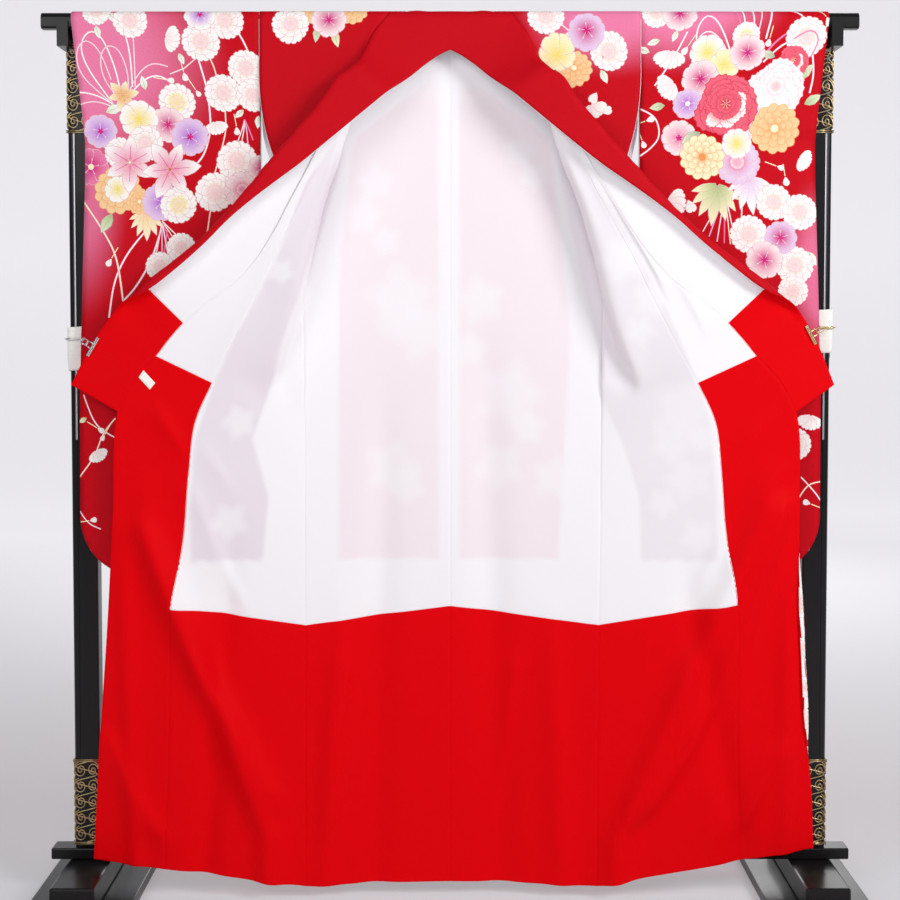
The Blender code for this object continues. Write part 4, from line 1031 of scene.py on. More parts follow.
def left_sleeve_print():
    p = Print()
    for points, width, colour in (
            (((270, 177), (310, 114), (320, 72), (300, 43), (277, 54), (259, 114), (255, 159)), 4, WHITE),
            (((273, 174), (324, 127), (329, 83), (309, 58), (284, 78), (270, 132)), 3, BLUSH),
            (((259, 168), (284, 132), (286, 91), (270, 69), (248, 78), (237, 123), (243, 159)), 3, BLUSH),
            (((270, 177), (291, 163), (320, 154), (344, 156)), 4, WHITE),
            (((270, 181), (300, 170), (328, 174), (344, 186)), 3, BLUSH),
            (((244, 159), (219, 119), (192, 101), (165, 109)), 3, BLUSH),
            (((244, 163), (210, 130), (183, 123), (161, 138)), 4, WHITE),
            (((235, 51), (230, 87), (233, 145)), 4, WHITE),
            (((221, 51), (223, 87), (228, 145)), 3, BLUSH),
            (((110, 91), (98, 150), (100, 223), (112, 268), (131, 288)), 4, WHITE),
            (((89, 91), (82, 110), (80, 125)), 3, CREAM),
            (((62, 10), (29, 51), (18, 82)), 4, WHITE),
            (((71, 186), (74, 232), (87, 277), (94, 304)), 3, CREAM),
            (((98, 360), (103, 406)), 3, CREAM),
            (((205, 391), (246, 440), (270, 494), (277, 560)), 4, WHITE),
            (((334, 345), (291, 404), (264, 452), (252, 530)), 4, CREAM),
            (((186, 395), (201, 452), (228, 503), (252, 530)), 4, WHITE),
            (((176, 395), (180, 452), (212, 512), (222, 522)), 2.6, PINK),
            (((322, 700), (300, 757), (262, 778)), 3, WHITE),
            (((330, 850), (300, 812), (286, 770), (262, 742)), 3, CREAM),
            (((338, 900), (316, 935), (290, 945)), 2.6, WHITE)):
        p.cord(points, width, colour)
    p.tassel(38, 203, ((45, 246), (33, 248), (52, 243), (24, 240)))
    p.tassel(186, 385, ((196, 452), (184, 454), (172, 452), (158, 448), (146, 440), (134, 432)))
    p.strip(((105, 88), (136, 112), (163, 122)), 2.0, BLUSH)
    for bud in ((138, 118, 17, 100), (172, 132, 16, 170), (54, 215, 16, 95), (275, 452, 17, 60),
                (120, 150, 14, 120), (296, 760, 15, 150), (312, 930, 15, 190), (282, 772, 13, 60)):
        p.bud(*bud)
    for leaf in ((143, 85, 110, 22, PALE_GREEN, WHITE), (286, 36, 100, 24, PALE_GREEN, WHITE),
                 (38, 186, 40, 22, PALE_GREEN, WHITE), (12, 196, 80, 24, PALE_GREEN, WHITE),
                 (236, 30, 150, 22, PALE_GREEN, WHITE), (262, 10, 120, 26, PALE_GREEN, WHITE),
                 (70, 320, 60, 40, PALE_GREEN, WHITE), (316, 742, 30, 18, LEAF_GREEN, CREAM)):
        p.leaf(*leaf)
    p.fan(166, 56, 30, 165)
    p.fan(92, 205, 26, 100)
    p.fan(300, 800, 24, 120)
    for x, y, radius, turn in ((224, 27, 32, 0.1), (284, 10, 26, 0.5), (53, 27, 34, 0.4),
                               (101, 65, 35, 0.9), (25, 112, 33, 0.2), (71, 156, 34, 0.6),
                               (18, 160, 30, 0.0), (53, 277, 37, 0.8), (92, 333, 36, 0.3),
                               (150, 433, 27, 0.2), (188, 466, 26, 0.7)):
        p.cherry(x, y, radius, turn)
    p.cherry(43, 328, 33, 0.1, PINK, BLUSH, MAGENTA)
    p.plum(98, 16, 29, 0.5, PURPLE, WHITE, MAGENTA)
    p.plum(10, 290, 23, 0.2, MAGENTA, BLUSH)
    bouquet = (("leaf", (277, 372, 60, 40)), ("leaf", (136, 192, -30, 34)),
               ("leaf", (286, 190, 200, 34, PALE_GREEN, WHITE)),
               ("leaf", (210, 150, -80, 26, PALE_GREEN, WHITE)),
               ("star", (214, 366, 56, 1.6, APRICOT, CREAM)),
               ("lily", (252, 160, 31, 0.2, ORANGE, CREAM, APRICOT)),
               ("cherry", (156, 172, 34, 0.2, YELLOW, WHITE)),
               ("plum", (177, 212, 32, 0.1, MAGENTA, BLUSH)),
               ("plum", (138, 234, 34, 0.7, PURPLE, PALE_LILAC, MAGENTA)),
               ("plum", (299, 224, 30, 0.4, PURPLE, PALE_LILAC, MAGENTA)),
               ("plum", (228, 203, 35, 0.9, YELLOW, WHITE)), ("cherry", (219, 246, 33, 0.5)),
               ("plum", (318, 287, 33, 0.2, MAGENTA, PINK, CREAM)), ("cherry", (265, 262, 28, 0.4)),
               ("mum", (268, 330, 44, 0.3)), ("mum", (228, 350, 24, 0.1)),
               ("plum", (188, 350, 35, 0.3, PURPLE, PALE_LILAC, PURPLE)),
               ("cherry", (157, 356, 34, 0.6, YELLOW, WHITE)), ("plum", (268, 328, 24, 0.2, YELLOW, WHITE)),
               ("lily", (246, 280, 56, 0.5)), ("lily", (174, 292, 58, 0.1)))
    p.add(bouquet)
    return p


def right_sleeve_print():
    p = Print()
    for points, width, colour in (
            (((165, 96), (140, 40), (115, 14), (98, 29), (93, 60), (106, 78)), 4, WHITE),
            (((162, 101), (144, 65), (118, 43), (100, 54), (97, 72)), 3.4, WHITE),
            (((174, 0), (185, 70)), 3.4, WHITE), (((193, 0), (198, 60)), 4, BLUSH),
            (((162, 0), (180, 60)), 3, PINK), (((211, 0), (205, 51), (200, 87)), 3, BLUSH),
            (((229, 0), (220, 60)), 4, WHITE),
            (((214, 96), (241, 60), (274, 40), (307, 43), (316, 69), (300, 93)), 3.4, PINK),
            (((220, 101), (247, 72), (272, 60)), 4, WHITE), (((258, 0), (283, 18), (287, 33)), 4, WHITE),
            (((307, 87), (314, 123), (310, 156)), 4, WHITE),
            (((78, 47), (60, 91), (30, 143)), 4, WHITE),
            (((0, 181), (39, 197), (50, 232), (28, 258), (0, 275)), 3.4, WHITE),
            (((120, 335), (100, 360), (76, 370)), 3, CREAM),
            (((196, 320), (193, 380), (188, 400)), 3, CREAM),
            (((334, 20), (322, 40), (330, 60)), 2.6, WHITE),
            (((294, 850), (322, 880), (338, 905)), 3, WHITE),
            (((284, 900), (306, 862), (336, 858)), 3, CREAM)):
        p.cord(points, width, colour)
    p.tassel(164, 331, ((122, 404), (133, 413), (147, 422), (160, 425), (171, 427), (180, 420)))
    for bud in ((82, 72, 18, 120), (227, 58, 16, 100), (274, 304, 18, 80), (258, 286, 15, 20),
                (20, 206, 18, 340), (15, 240, 15, 70), (324, 20, 20, 60), (313, 900, 16, 200)):
        p.bud(*bud)
    for leaf in ((30, 62, 160, 24, PALE_GREEN, WHITE), (14, 84, 200, 24, PALE_GREEN, WHITE),
                 (60, 45, 110, 22, PALE_GREEN, WHITE), (303, 176, -30, 34), (287, 132, -50, 36),
                 (52, 178, 170, 28), (240, 92, 200, 28, LEAF_GREY, PALE_GREEN),
                 (270, 500, 70, 30, PALE_GREEN, WHITE),
                 (212, 445, 100, 28, PALE_GREEN, WHITE), (312, 440, 60, 30, PALE_GREEN, WHITE)):
        p.leaf(*leaf)
    p.fan(52, 78, 36, 95)
    p.fan(66, 136, 34, 140)
    p.fan(298, 270, 26, 30)
    p.fan(56, 350, 38, 20)
    p.loose(96, 345, 26, 70)
    p.fan(312, 735, 30, 100)
    p.cherry(20, 14, 27, 0.2)
    p.plum(62, 14, 32, 0.6, MAGENTA, BLUSH)
    p.cherry(292, 56, 37, 0.4)
    p.cord(((270, 60), (300, 40), (318, 60), (304, 92)), 2.6, PINK)
    bouquet = (("star", (151, 318, 78, 1.75, LEAF_GREEN, CREAM)),
               ("star", (206, 306, 70, 1.45, PALE_LILAC, WHITE)),
               ("cherry", (184, 54, 25, 0.3, YELLOW, WHITE)), ("plum", (118, 84, 32, 0.2, YELLOW, WHITE)),
               ("plum", (151, 106, 28, 0.8, YELLOW, CREAM)), ("plum", (190, 84, 32, 0.4, MAGENTA, BLUSH)),
               ("plum", (111, 131, 34, 0.1, MAGENTA, BLUSH)),
               ("plum", (93, 175, 27, 0.5, PURPLE, PALE_LILAC, WHITE)),
               ("plum", (82, 236, 32, 0.9, PINK, BLUSH, MAGENTA)), ("peony", (274, 100, 30, 0.2)),
               ("cherry", (214, 206, 34, 0.2, PINK, BLUSH)),
               ("leaf", (120, 226, 150, 40, LEAF_GREY, PALE_GREEN)),
               ("peony", (250, 148, 54, 0.9, ROSE, WHITE, WHITE)), ("mum", (254, 219, 46, 0.2)),
               ("cherry", (187, 279, 42, 0.1, PINK, PALE_LILAC)), ("peony", (164, 180, 60, 0.3)),
               ("mum", (124, 270, 42, 0.4, ORANGE, CREAM, ORANGE)),
               ("plum", (186, 246, 27, 0.2, YELLOW, WHITE)))
    p.add(bouquet)
    for x, y, radius, turn in ((252, 351, 33, 0.2), (299, 369, 33, 0.7), (205, 409, 35, 0.4),
                               (287, 465, 35, 0.1), (283, 511, 28, 0.5), (283, 790, 30, 0.3)):
        p.cherry(x, y, radius, turn)
    p.plum(263, 415, 30, 0.3, MAGENTA, PALE_LILAC, MAGENTA)
    p.plum(232, 455, 34, 0.8, MAGENTA, BLUSH)
    return p


def left_front_print():
    p = Print()
    p.leaf(105, 40, 100, 26)
    p.leaf(132, 46, 70, 28, LEAF_GREEN, CREAM)
    p.mum(96, 0, 34, 0.2)
    p.mum(165, 4, 32, 0.5)
    p.plum(125, 26, 32, 0.3, MAGENTA, BLUSH)
    p.cherry(56, 34, 34, 0.5)
    return p


def right_front_print():
    p = Print()
    p.cord(((170, 0), (140, 40), (110, 60)), 3.2, WHITE)
    for leaf in ((72, 112, 120, 26, PALE_GREEN, WHITE), (96, 96, 60, 24, PALE_GREEN, WHITE),
                 (140, 60, 200, 26, PALE_GREEN, WHITE)):
        p.leaf(*leaf)
    p.fan(88, 168, 32, 120)
    p.loose(76, 148, 22, 60)
    p.loose(66, 184, 20, 200)
    p.bud(30, 252, 18, 150)
    p.bud(64, 262, 18, 60)
    p.mum(120, 110, 34, 0.1)
    p.plum(150, 84, 34, 0.2, YELLOW, CREAM)
    p.cherry(170, 20, 34, 0.4)
    p.cherry(57, 80, 34, 0.2)
    p.plum(97, 46, 33, 0.5, MAGENTA, PALE_LILAC)
    return p


# Finishes

def new_material(name):
    material = bpy.data.materials.new(name)
    material.use_nodes = True
    nodes = material.node_tree.nodes
    return material, nodes, material.node_tree.links, nodes["Principled BSDF"]


def silk(name, tint, roughness, shine, grain, grain_depth, depth_of_tone, printed=False):
    """Silk with a fine uneven grain; a printed one takes its colour from the cloth's dyes."""
    material, nodes, links, shader = new_material(name)
    shader.inputs["Roughness"].default_value = roughness
    shader.inputs["Specular IOR Level"].default_value = shine
    place = nodes.new("ShaderNodeTexCoord")
    noise = nodes.new("ShaderNodeTexNoise")
    noise.inputs["Scale"].default_value = grain
    noise.inputs["Detail"].default_value = 3.0
    noise.inputs["Roughness"].default_value = 0.65
    links.new(place.outputs["UV"], noise.inputs["Vector"])
    shade = nodes.new("ShaderNodeMapRange")
    shade.inputs["From Min"].default_value = 0.30
    shade.inputs["From Max"].default_value = 0.70
    shade.inputs["To Min"].default_value = 1.0 - depth_of_tone
    shade.inputs["To Max"].default_value = 1.0 + depth_of_tone
    links.new(noise.outputs["Fac"], shade.inputs["Value"])
    mix = nodes.new("ShaderNodeVectorMath")
    mix.operation = "SCALE"
    if printed:
        dyes = nodes.new("ShaderNodeAttribute")
        dyes.attribute_name = "print"
        links.new(dyes.outputs["Color"], mix.inputs[0])
    else:
        mix.inputs[0].default_value = tint
    links.new(shade.outputs["Result"], mix.inputs["Scale"])
    links.new(mix.outputs["Vector"], shader.inputs["Base Color"])
    bump = nodes.new("ShaderNodeBump")
    bump.inputs["Strength"].default_value = grain_depth
    bump.inputs["Distance"].default_value = 0.3 * MM
    links.new(noise.outputs["Fac"], bump.inputs["Height"])
    links.new(bump.outputs["Normal"], shader.inputs["Normal"])
    return material


def make_finishes():
    return {
        "outer": silk("crimson_crepe", None, 0.62, 0.08, 520.0, 0.45, 0.12, True),
        "inside": silk("sleeve_lining_silk", tuple(dye(250, 240, 244)), 0.5, 0.12, 900.0, 0.1, 0.02),
        "white": silk("white_lining_silk", None, 0.5, 0.12, 900.0, 0.08, 0.015, True),
        "red": silk("red_hem_silk", tuple(dye(228, 2, 12)), 0.55, 0.04, 900.0, 0.12, 0.03),
    }


# Building

OUT_LIFT = HALF_GAP + CLOTH
IN_LIFT = -(HALF_GAP + LINING)
OUTER_THICKNESS = 1.0 * MM
LINING_THICKNESS = 0.8 * MM
SEAM_DEPTH = 0.8 * MM
SEAM_REACH = 1.6 * MM
CRIMSON_GROUND = ground_of((), 1.0)

# Where the print shows faintly through the lining, and painted shade in the same tones along its folds:
# tone, strength, rows of height, left, right.
SHOW_THROUGH_AND_SHADE = (
    ((234, 223, 233), 0.8, ((1392, -202, -183), (1306, -260, -206), (1192, -304, -240),
                             (1106, -345, -267), (1031, -387, -294), (952, -426, -317),
                             (850, -462, -354), (743, -471, -326), (626, -473, -337))),
    ((248, 233, 238), 0.75, ((1510, -30, -18), (1392, -179, -18), (1190, -200, -18),
                            (1100, -205, -18), (626, -206, -18))),
    ((248, 233, 238), 0.75, ((1510, 14, 30), (1392, 14, 184), (1190, 14, 206), (1029, 14, 222),
                            (626, 14, 200))),
    ((238, 229, 237), 0.6, ((1392, 186, 208), (1297, 202, 268), (1226, 217, 313), (1154, 231, 354),
                             (1083, 249, 390), (1029, 260, 415), (904, 281, 465), (832, 313, 476),
                             (743, 340, 483), (626, 344, 487))))
# Pale blossoms within those tones: out, height and radius, in millimetres.
GHOSTS = ((-134, 1315, 26), (-158, 1252, 28), (-90, 1100, 52), (-54, 1046, 46), (-116, 1208, 22),
          (-107, 796, 40), (-80, 760, 28), (54, 1100, 36), (107, 931, 48), (90, 796, 36),
          (143, 868, 26), (188, 778, 30), (36, 1011, 26), (125, 1369, 22), (152, 1324, 22),
          (304, 1172, 32), (358, 1100, 26), (421, 904, 44), (397, 841, 28), (430, 778, 32),
          (385, 733, 22), (456, 850, 22), (448, 671, 26), (340, 1046, 22), (-400, 700, 26),
          (-380, 880, 24), (-300, 1150, 18))


def okumi_print(okumi):
    """Blossoms and cords down the overlap panel's free edge."""
    p = Print()

    def inside(down, away):
        """How far across the panel a place lies that is some way in from its free edge."""
        return float(np.interp(down * MM, okumi.downs, okumi.widths)) / MM - away

    for away, start, step, wide, colour in ((2, 1030, 52, 6, WHITE), (8, 1060, 66, 5, CREAM)):
        line = [(inside(start + step * k, away + 4 * (k % 2)), start + step * k) for k in range(8)]
        p.cord(line, wide, colour, edge=BLUSH)
    for k, (away, down) in enumerate(((4, 1120), (12, 1200), (2, 1282), (14, 1352), (4, 1430))):
        p.cherry(inside(down, away), down, 24, 0.3 * k)
    p.fan(inside(1500, 30), 1500, 30, 40)
    p.cherry(inside(1520, 60), 1520, 32, 0.1)
    return p


def back_print(side):
    """One half of the back: a spray below the shoulder and two above the hem."""
    p = Print()
    for x, y, across in ((222, 190, side), (120, 1290, -side)):
        p.moved(back_spray(), x, y, across)
    for x, y, across in ((90, 420, -side), (196, 1440, side)):
        p.moved(cherry_spray(), x, y, across)
    for x, y in ((60, 90), (40, 1180), (70, 1500), (240, 1180), (250, 1540), (330, 70)):
        p.fan(x, y, 26, 60)
        p.loose(x + 24, y + 40, 20, 80)
    p.cherry(60, 1420, 34, 0.2)
    p.cherry(24, 1390, 30, 0.6)
    return p


def panel_outline(cloth, first, last):
    return edge_loop((0.0, first), (cloth.widths.mean(), last))


def seamed_rows(first, last):
    beside = np.array((0.0, 0.8, 1.7, 2.8, 4.2)) * MM
    middle = rows_between(first + beside[-1], last - beside[-1], 8 * MM)
    return np.concatenate((first + beside[:-1], middle, last - beside[:-1][::-1]))


def declare(node):
    """Hides the imported part that the sheet is made in place of."""
    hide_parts(node)


def lining_show_through_and_shade(places):
    """White silk that shows a breath of the print behind it, with painted shade in the same tones along its
    folds, and its seam allowances whiter.
    """
    x, z = places[:, 0] / MM, places[:, 2] / MM
    colours = np.empty((len(places), 3))
    colours[:] = dye(250, 247, 250)
    # Each tone is partly the print showing through and partly painted shade.
    for tone, strength, rows in SHOW_THROUGH_AND_SHADE:
        rows = np.array(rows, float)[::-1]
        left, right = (np.interp(z, rows[:, 0], rows[:, k]) for k in (1, 2))
        inside = np.clip((x - left) / 7, 0, 1) * np.clip((right - x) / 7, 0, 1)
        inside *= np.clip((rows[-1, 0] - z) / 60, 0, 1) * np.clip((z - rows[0, 0]) / 6, 0, 1)
        for ghost_x, ghost_z, radius in GHOSTS:
            turn = np.arctan2(z - ghost_z, x - ghost_x)
            reach = radius * (1 + 0.16 * np.cos(5 * turn + ghost_x))
            ghost = np.clip(1.4 - np.hypot(x - ghost_x, z - ghost_z) / reach, 0, 1)
            inside = inside * (1 - 0.6 * np.clip(ghost * 1.5, 0, 1))
        share = (inside * strength)[:, None]
        colours = colours * (1 - share) + dye(*tone) * share
    return colours


def make_lining(stem, word, cloth, columns, first, step, last, finishes, red_stem=None):
    red_stem = stem + "_hem" if red_stem is None else red_stem
    shares = seamed(cloth.widths.mean(), columns)
    item = plain_sheet(stem + "_lining_cloth_" + word, cloth, shares, seamed_rows(first, step),
                       IN_LIFT, LINING_THICKNESS, [finishes["white"]], lining_show_through_and_shade)
    declare(stem + "_lining_" + word)
    item = plain_sheet(red_stem + "_lining_cloth_" + word, cloth, shares, seamed_rows(step, last),
                       IN_LIFT, LINING_THICKNESS, [finishes["red"]])
    declare(red_stem + "_lining_" + word)


def make_front(side, word, outer, finishes):
    front = front_cloth(side)
    prints = left_front_print() if side < 0 else right_front_print()
    ground = CRIMSON_GROUND if side < 0 else ground_of(((60, 0, 170, 130, 1.0),), 1.6)
    item = printed_sheet("front_cloth_" + word, front, panel_outline(front, 0.0, HEM),
                         prints.patches, ground, 9 * MM, OUT_LIFT, OUTER_THICKNESS, outer)
    declare("front_" + word)
    make_lining("front", word, front, 53, 0.0, BODY_STEP, HEM, finishes)


def make_okumi(side, word, outer, finishes):
    """The narrow overlap panel, lined like the front that it is sewn to."""
    okumi = okumi_cloth(side)
    item = printed_sheet("okumi_cloth_" + word, okumi, panel_outline(okumi, OKUMI_TOP, HEM),
                         okumi_print(okumi).patches, CRIMSON_GROUND, 3 * MM, OUT_LIFT,
                         OUTER_THICKNESS, outer)
    declare("okumi_" + word)
    make_lining("okumi", word, okumi, 45, OKUMI_TOP, OKUMI_STEP, HEM, finishes)


def make_back(side, word, outer, finishes):
    back = back_cloth(side)
    item = printed_sheet("back_cloth_" + word, back, panel_outline(back, 0.0, HEM),
                         back_print(side).patches, CRIMSON_GROUND, 9 * MM, OUT_LIFT,
                         OUTER_THICKNESS, outer, every=2)
    declare("back_" + word)
    make_lining("back", word, back, 41, 0.0, BODY_STEP, HEM, finishes)


def make_sleeve(side, word, outer):
    """One sleeve, printed on both faces: its print is given outwards from its inner edge."""
    sleeve = sleeve_cloth(side)
    prints = left_sleeve_print() if side < 0 else right_sleeve_print()
    for spray_of, x, y in ((back_spray, 230, -170), (cherry_spray, 110, -420),
                           (back_spray, 200, -830), (cherry_spray, 80, -930)):
        prints.moved(spray_of(), x, y, side, -1)
    width = sleeve.widths.mean() / MM
    for patch in prints.patches:
        for key in ("outline", "centre"):
            patch[key] = patch[key] * (-1, 1) + (width * MM, 0.0)
    if side < 0:
        ground = ground_of(((width - 330, 90, 290, 250, 1.0), (0, 330, 90, 250, 0.7),
                            (60, -950, 260, 260, 1.0)), 1.5)
    else:
        ground = ground_of(((width - 60, -20, 210, 150, 1.0), (0, 480, 70, 180, 0.7),
                            (60, -950, 260, 260, 1.0)), 1.6)
    half = sleeve.downs[-1]
    outline = edge_loop((0.0, -half), (sleeve.widths.mean(), half), SLEEVE_CORNER, True)
    item = printed_sheet("sleeve_cloth_" + word, sleeve, outline, prints.patches, ground,
                         11 * MM, 0.0, OUTER_THICKNESS, outer, every=2)
    declare("sleeve_" + word)


def make_collar(outer):
    """The collar's outer cloth, one plain strip from tip to tip."""
    collar = NeckBand()
    half = COLLAR_END + NECK_OUT
    item = printed_sheet("collar_cloth", collar, panel_outline(collar, -half, half),
                         [], CRIMSON_GROUND, 5 * MM, OUT_LIFT, OUTER_THICKNESS, outer)
    declare("collar")


def make_garment(finishes):
    outer = [finishes["outer"], finishes["inside"]]
    for side, word in ((-1, "left"), (1, "right")):
        make_front(side, word, outer, finishes)
        make_okumi(side, word, outer, finishes)
        make_back(side, word, outer, finishes)
        make_lining("collar", word, collar_cloth(side), 53, COLLAR_LINING_TOP, COLLAR_STEP,
                    COLLAR_END, finishes, "collar_tip")
        make_sleeve(side, word, outer)
    make_collar(outer)


def make_stand(lacquer, gold, painted_highlight, cotton, steel, brass):
    """The frame takes its lacquer; its posts get scrolls, mouldings, wound cotton and clips."""
    for name in STAND_NODES:
        for slot in bpy.data.objects[name].material_slots:
            slot.material = lacquer
    for side, word in ((-1, "left"), (1, "right")):
        for low, high in SCROLL_HEIGHTS:
            make_scrolls("scrolls_%s_%d" % (word, low), side, low * MM, high * MM, gold)
        make_moulding(side, word, lacquer, painted_highlight)
        make_wrap(side, word, cotton)
        make_clip(side, word, steel if side < 0 else brass)


def wires(name, lines, radius, material, closed=()):
    """Round wire along several lines, as one piece."""
    curve = bpy.data.curves.new(name, "CURVE")
    curve.dimensions = "3D"
    curve.bevel_depth = radius
    curve.bevel_resolution = 1
    curve.use_fill_caps = True
    for number, points in enumerate(lines):
        spline = curve.splines.new("POLY")
        spline.points.add(len(points) - 1)
        for spot, point in zip(spline.points, points):
            spot.co = (*point, 1.0)
        spline.use_cyclic_u = number in closed
    item = in_scene(name, curve)
    curve.materials.append(material)
    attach(item, "root")
    return item


def squared(cos, sin):
    """How much further out a box with round corners lies than a circle in it."""
    return (abs(cos) ** 8 + abs(sin) ** 8) ** (-1 / 8)


def boxed_loop(side, half, height, count=32):
    """A loop with round corners about a post."""
    line = []
    for turn in np.linspace(0.0, 2 * math.pi, count, endpoint=False):
        cos, sin = math.cos(turn), math.sin(turn)
        boxed = squared(cos, sin)
        line.append((side * (POST_OUT + MOULDING_WIDTH / 2) + half[0] * boxed * cos,
                     half[1] * boxed * sin, height))
    return line


def make_scrolls(name, side, low, high, gold):
    """Raised scrollwork between bands, on a post's front, back and outer faces."""
    half_width = POST_WIDTH / 2
    middle_out = side * (POST_OUT + MOULDING_WIDTH / 2)
    half_out, half_depth = half_width + MOULDING_WIDTH / 2, POST_DEPTH / 2
    skin = 0.3 * MM
    faces = ((lambda across, height: (middle_out + across, -half_depth - skin, height), half_out),
             (lambda across, height: (middle_out + across, half_depth + skin, height), half_out),
             (lambda across, height: (middle_out + side * (half_out + skin), across, height),
              half_depth * 0.66))
    lines = []
    for height in (low, low + 3 * MM, high - 3 * MM, high):
        w, d = half_out + skin, half_depth + skin
        lines.append([(middle_out + a * w, b * d, height)
                      for a, b in ((-1, -1), (1, -1), (1, 1), (-1, 1))])
    count = 5
    pitch = (high - low - 8 * MM) / count
    for place, half in faces:
        for k in range(count):
            middle = low + 4 * MM + (k + 0.5) * pitch
            for way in (-1, 1):
                turns = np.linspace(0.2, 3.2 * math.pi, 24)
                size = np.linspace(0.42, 0.05, 24)
                lines.append([place(way * half * (0.46 + size[i] * math.cos(turns[i])),
                                    middle + way * size[i] * pitch * math.sin(turns[i]))
                              for i in range(len(turns))])
            lines.append([place(half * 0.80 * math.sin(t * 2 * math.pi), middle + (t - 0.5) * pitch)
                          for t in np.linspace(0.0, 1.0, 15)])
            for way in (-1, 1):
                lines.append([place(way * half * (0.62 + 0.26 * math.sin(t)),
                                    middle + (0.5 - 0.16 * t) * pitch)
                              for t in np.linspace(0.0, 2.0, 7)])
    wires(name, lines, SCROLL_WIRE, gold, (0, 1, 2, 3))


def make_moulding(side, word, lacquer, painted_highlight):
    """A half-round moulding down the post's outer face, with a pale line beside it that is a painted
    highlight.
    """
    profile = []
    for turn in np.linspace(-math.pi / 2, math.pi / 2, 13):
        out = POST_OUT + POST_WIDTH / 2 + MOULDING_WIDTH * math.cos(turn) ** 0.6
        profile.append((side * out, POST_DEPTH / 2 * 0.9 * math.sin(turn)))
    # The second piece, the pale line, is a painted highlight along the post's edge.
    for name, shape, low, high, finish, slot in (
            ("moulding_" + word, profile, RAIL_TOP + 1 * MM, MOULDING_TOP, lacquer, "black_lacquer"),
            ("line_" + word, [(side * (POST_OUT + POST_WIDTH / 2 + a * MM), -b * MM)
                              for a, b in ((-1.2, 16.3), (-1.2, 12.0), (2.4, 12.0), (2.4, 15.2),
                                           (0.6, 16.6))],
             HIGHLIGHT_STRIP_LOW, HIGHLIGHT_STRIP_HIGH, painted_highlight, "white_cotton")):
        mesh = bmesh.new()
        cap = mesh.faces.new([mesh.verts.new((x, y, low)) for x, y in shape])
        moved = bmesh.ops.extrude_face_region(mesh, geom=[cap])
        verts = [part for part in moved["geom"] if isinstance(part, bmesh.types.BMVert)]
        bmesh.ops.translate(mesh, vec=(0.0, 0.0, high - low), verts=verts)
        bmesh.ops.recalc_face_normals(mesh, faces=mesh.faces)
        data = mesh_of(name, mesh)
        data.materials.append(finish)
        data.shade_smooth()
        data.set_sharp_from_angle(angle=math.radians(40))
        item = in_scene(name, data)
        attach(item, "root")


def make_clip(side, word, metal):
    """A spring clip: two jaw bars, arms through a coil, a handle, and wire round the wrap."""
    grip, slot = CLIP_GRIPS[side], "clip_steel" if side < 0 else "clip_brass"
    upper, lower = along(COLLAR_FOLD, grip + 0.025), along(COLLAR_FOLD, grip - 0.025)
    ends = placed(side, np.array((upper, lower)))
    seam = Vector(placed(side, along(FREE_EDGE, grip)))
    middle = Vector((ends[0] + ends[1]) / 2)
    run = (Vector(ends[0]) - Vector(ends[1])).normalized()
    outward = middle - seam
    outward = (outward - run * outward.dot(run)).normalized()
    face = run.cross(outward).normalized()
    inwards, arm_out, coil_out, handle_out = 5 * MM, 7 * MM, 10 * MM, 10 * MM
    jaw_bars_apart, arm_from_middle, handle_apart = 3.2 * MM, 5 * MM, 5 * MM
    coil_half_width, coil_radius = 5.6 * MM, 2.6 * MM
    bars, arms = [], []
    for way in (-1, 1):
        skin = way * (HALF_GAP + CLOTH + JAW_WIRE + 0.2 * MM)
        centre = middle - outward * inwards + face * skin
        for shift in (0.0, jaw_bars_apart):
            bars.append([centre + outward * shift + run * t * CLIP_HALF_LENGTH for t in (-1, 1)])
        for along_run in (-arm_from_middle, arm_from_middle):
            start = centre + run * along_run
            coil = middle + outward * coil_out + run * along_run
            handle = coil + outward * handle_out - face * way * handle_apart
            arms.append([start, start + outward * arm_out, coil, handle, handle - run * along_run])
    coil = [middle + outward * coil_out + run * t * coil_half_width
            + (outward * math.cos(t * 16) + face * math.sin(t * 16)) * coil_radius
            for t in np.linspace(-1.0, 1.0, 70)]
    jaws = wires("clip_jaws_" + word, bars, JAW_WIRE, metal)
    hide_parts("clip_" + word)
    wires("clip_spring_" + word, arms + [coil], SPRING_WIRE, metal)
    start = middle + outward * (coil_out + handle_out - TIE_WIRE)
    level = start.z
    out = POST_OUT + POST_WIDTH / 2 + MOULDING_WIDTH
    corners = [start, (side * (out - 2 * MM), start.y, level + 3 * MM),
               (side * (out - 1 * MM), BAR_Y, level + 2 * MM),
               (side * (out - 4 * MM), -POST_DEPTH / 2 - OVER_COTTON, level)]
    tie = measured(rounded([tuple(corner) for corner in corners]), np.linspace(0.0, 1.0, 20))
    half = ((POST_WIDTH + MOULDING_WIDTH) / 2 + OVER_COTTON, POST_DEPTH / 2 + OVER_COTTON)
    turns = [boxed_loop(side, half, level), boxed_loop(side, half, level + 3 * MM)]
    tied = wires("clip_tie_" + word, [tie] + turns, TIE_WIRE, metal, (1, 2))
    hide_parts("clip_wire_" + word)


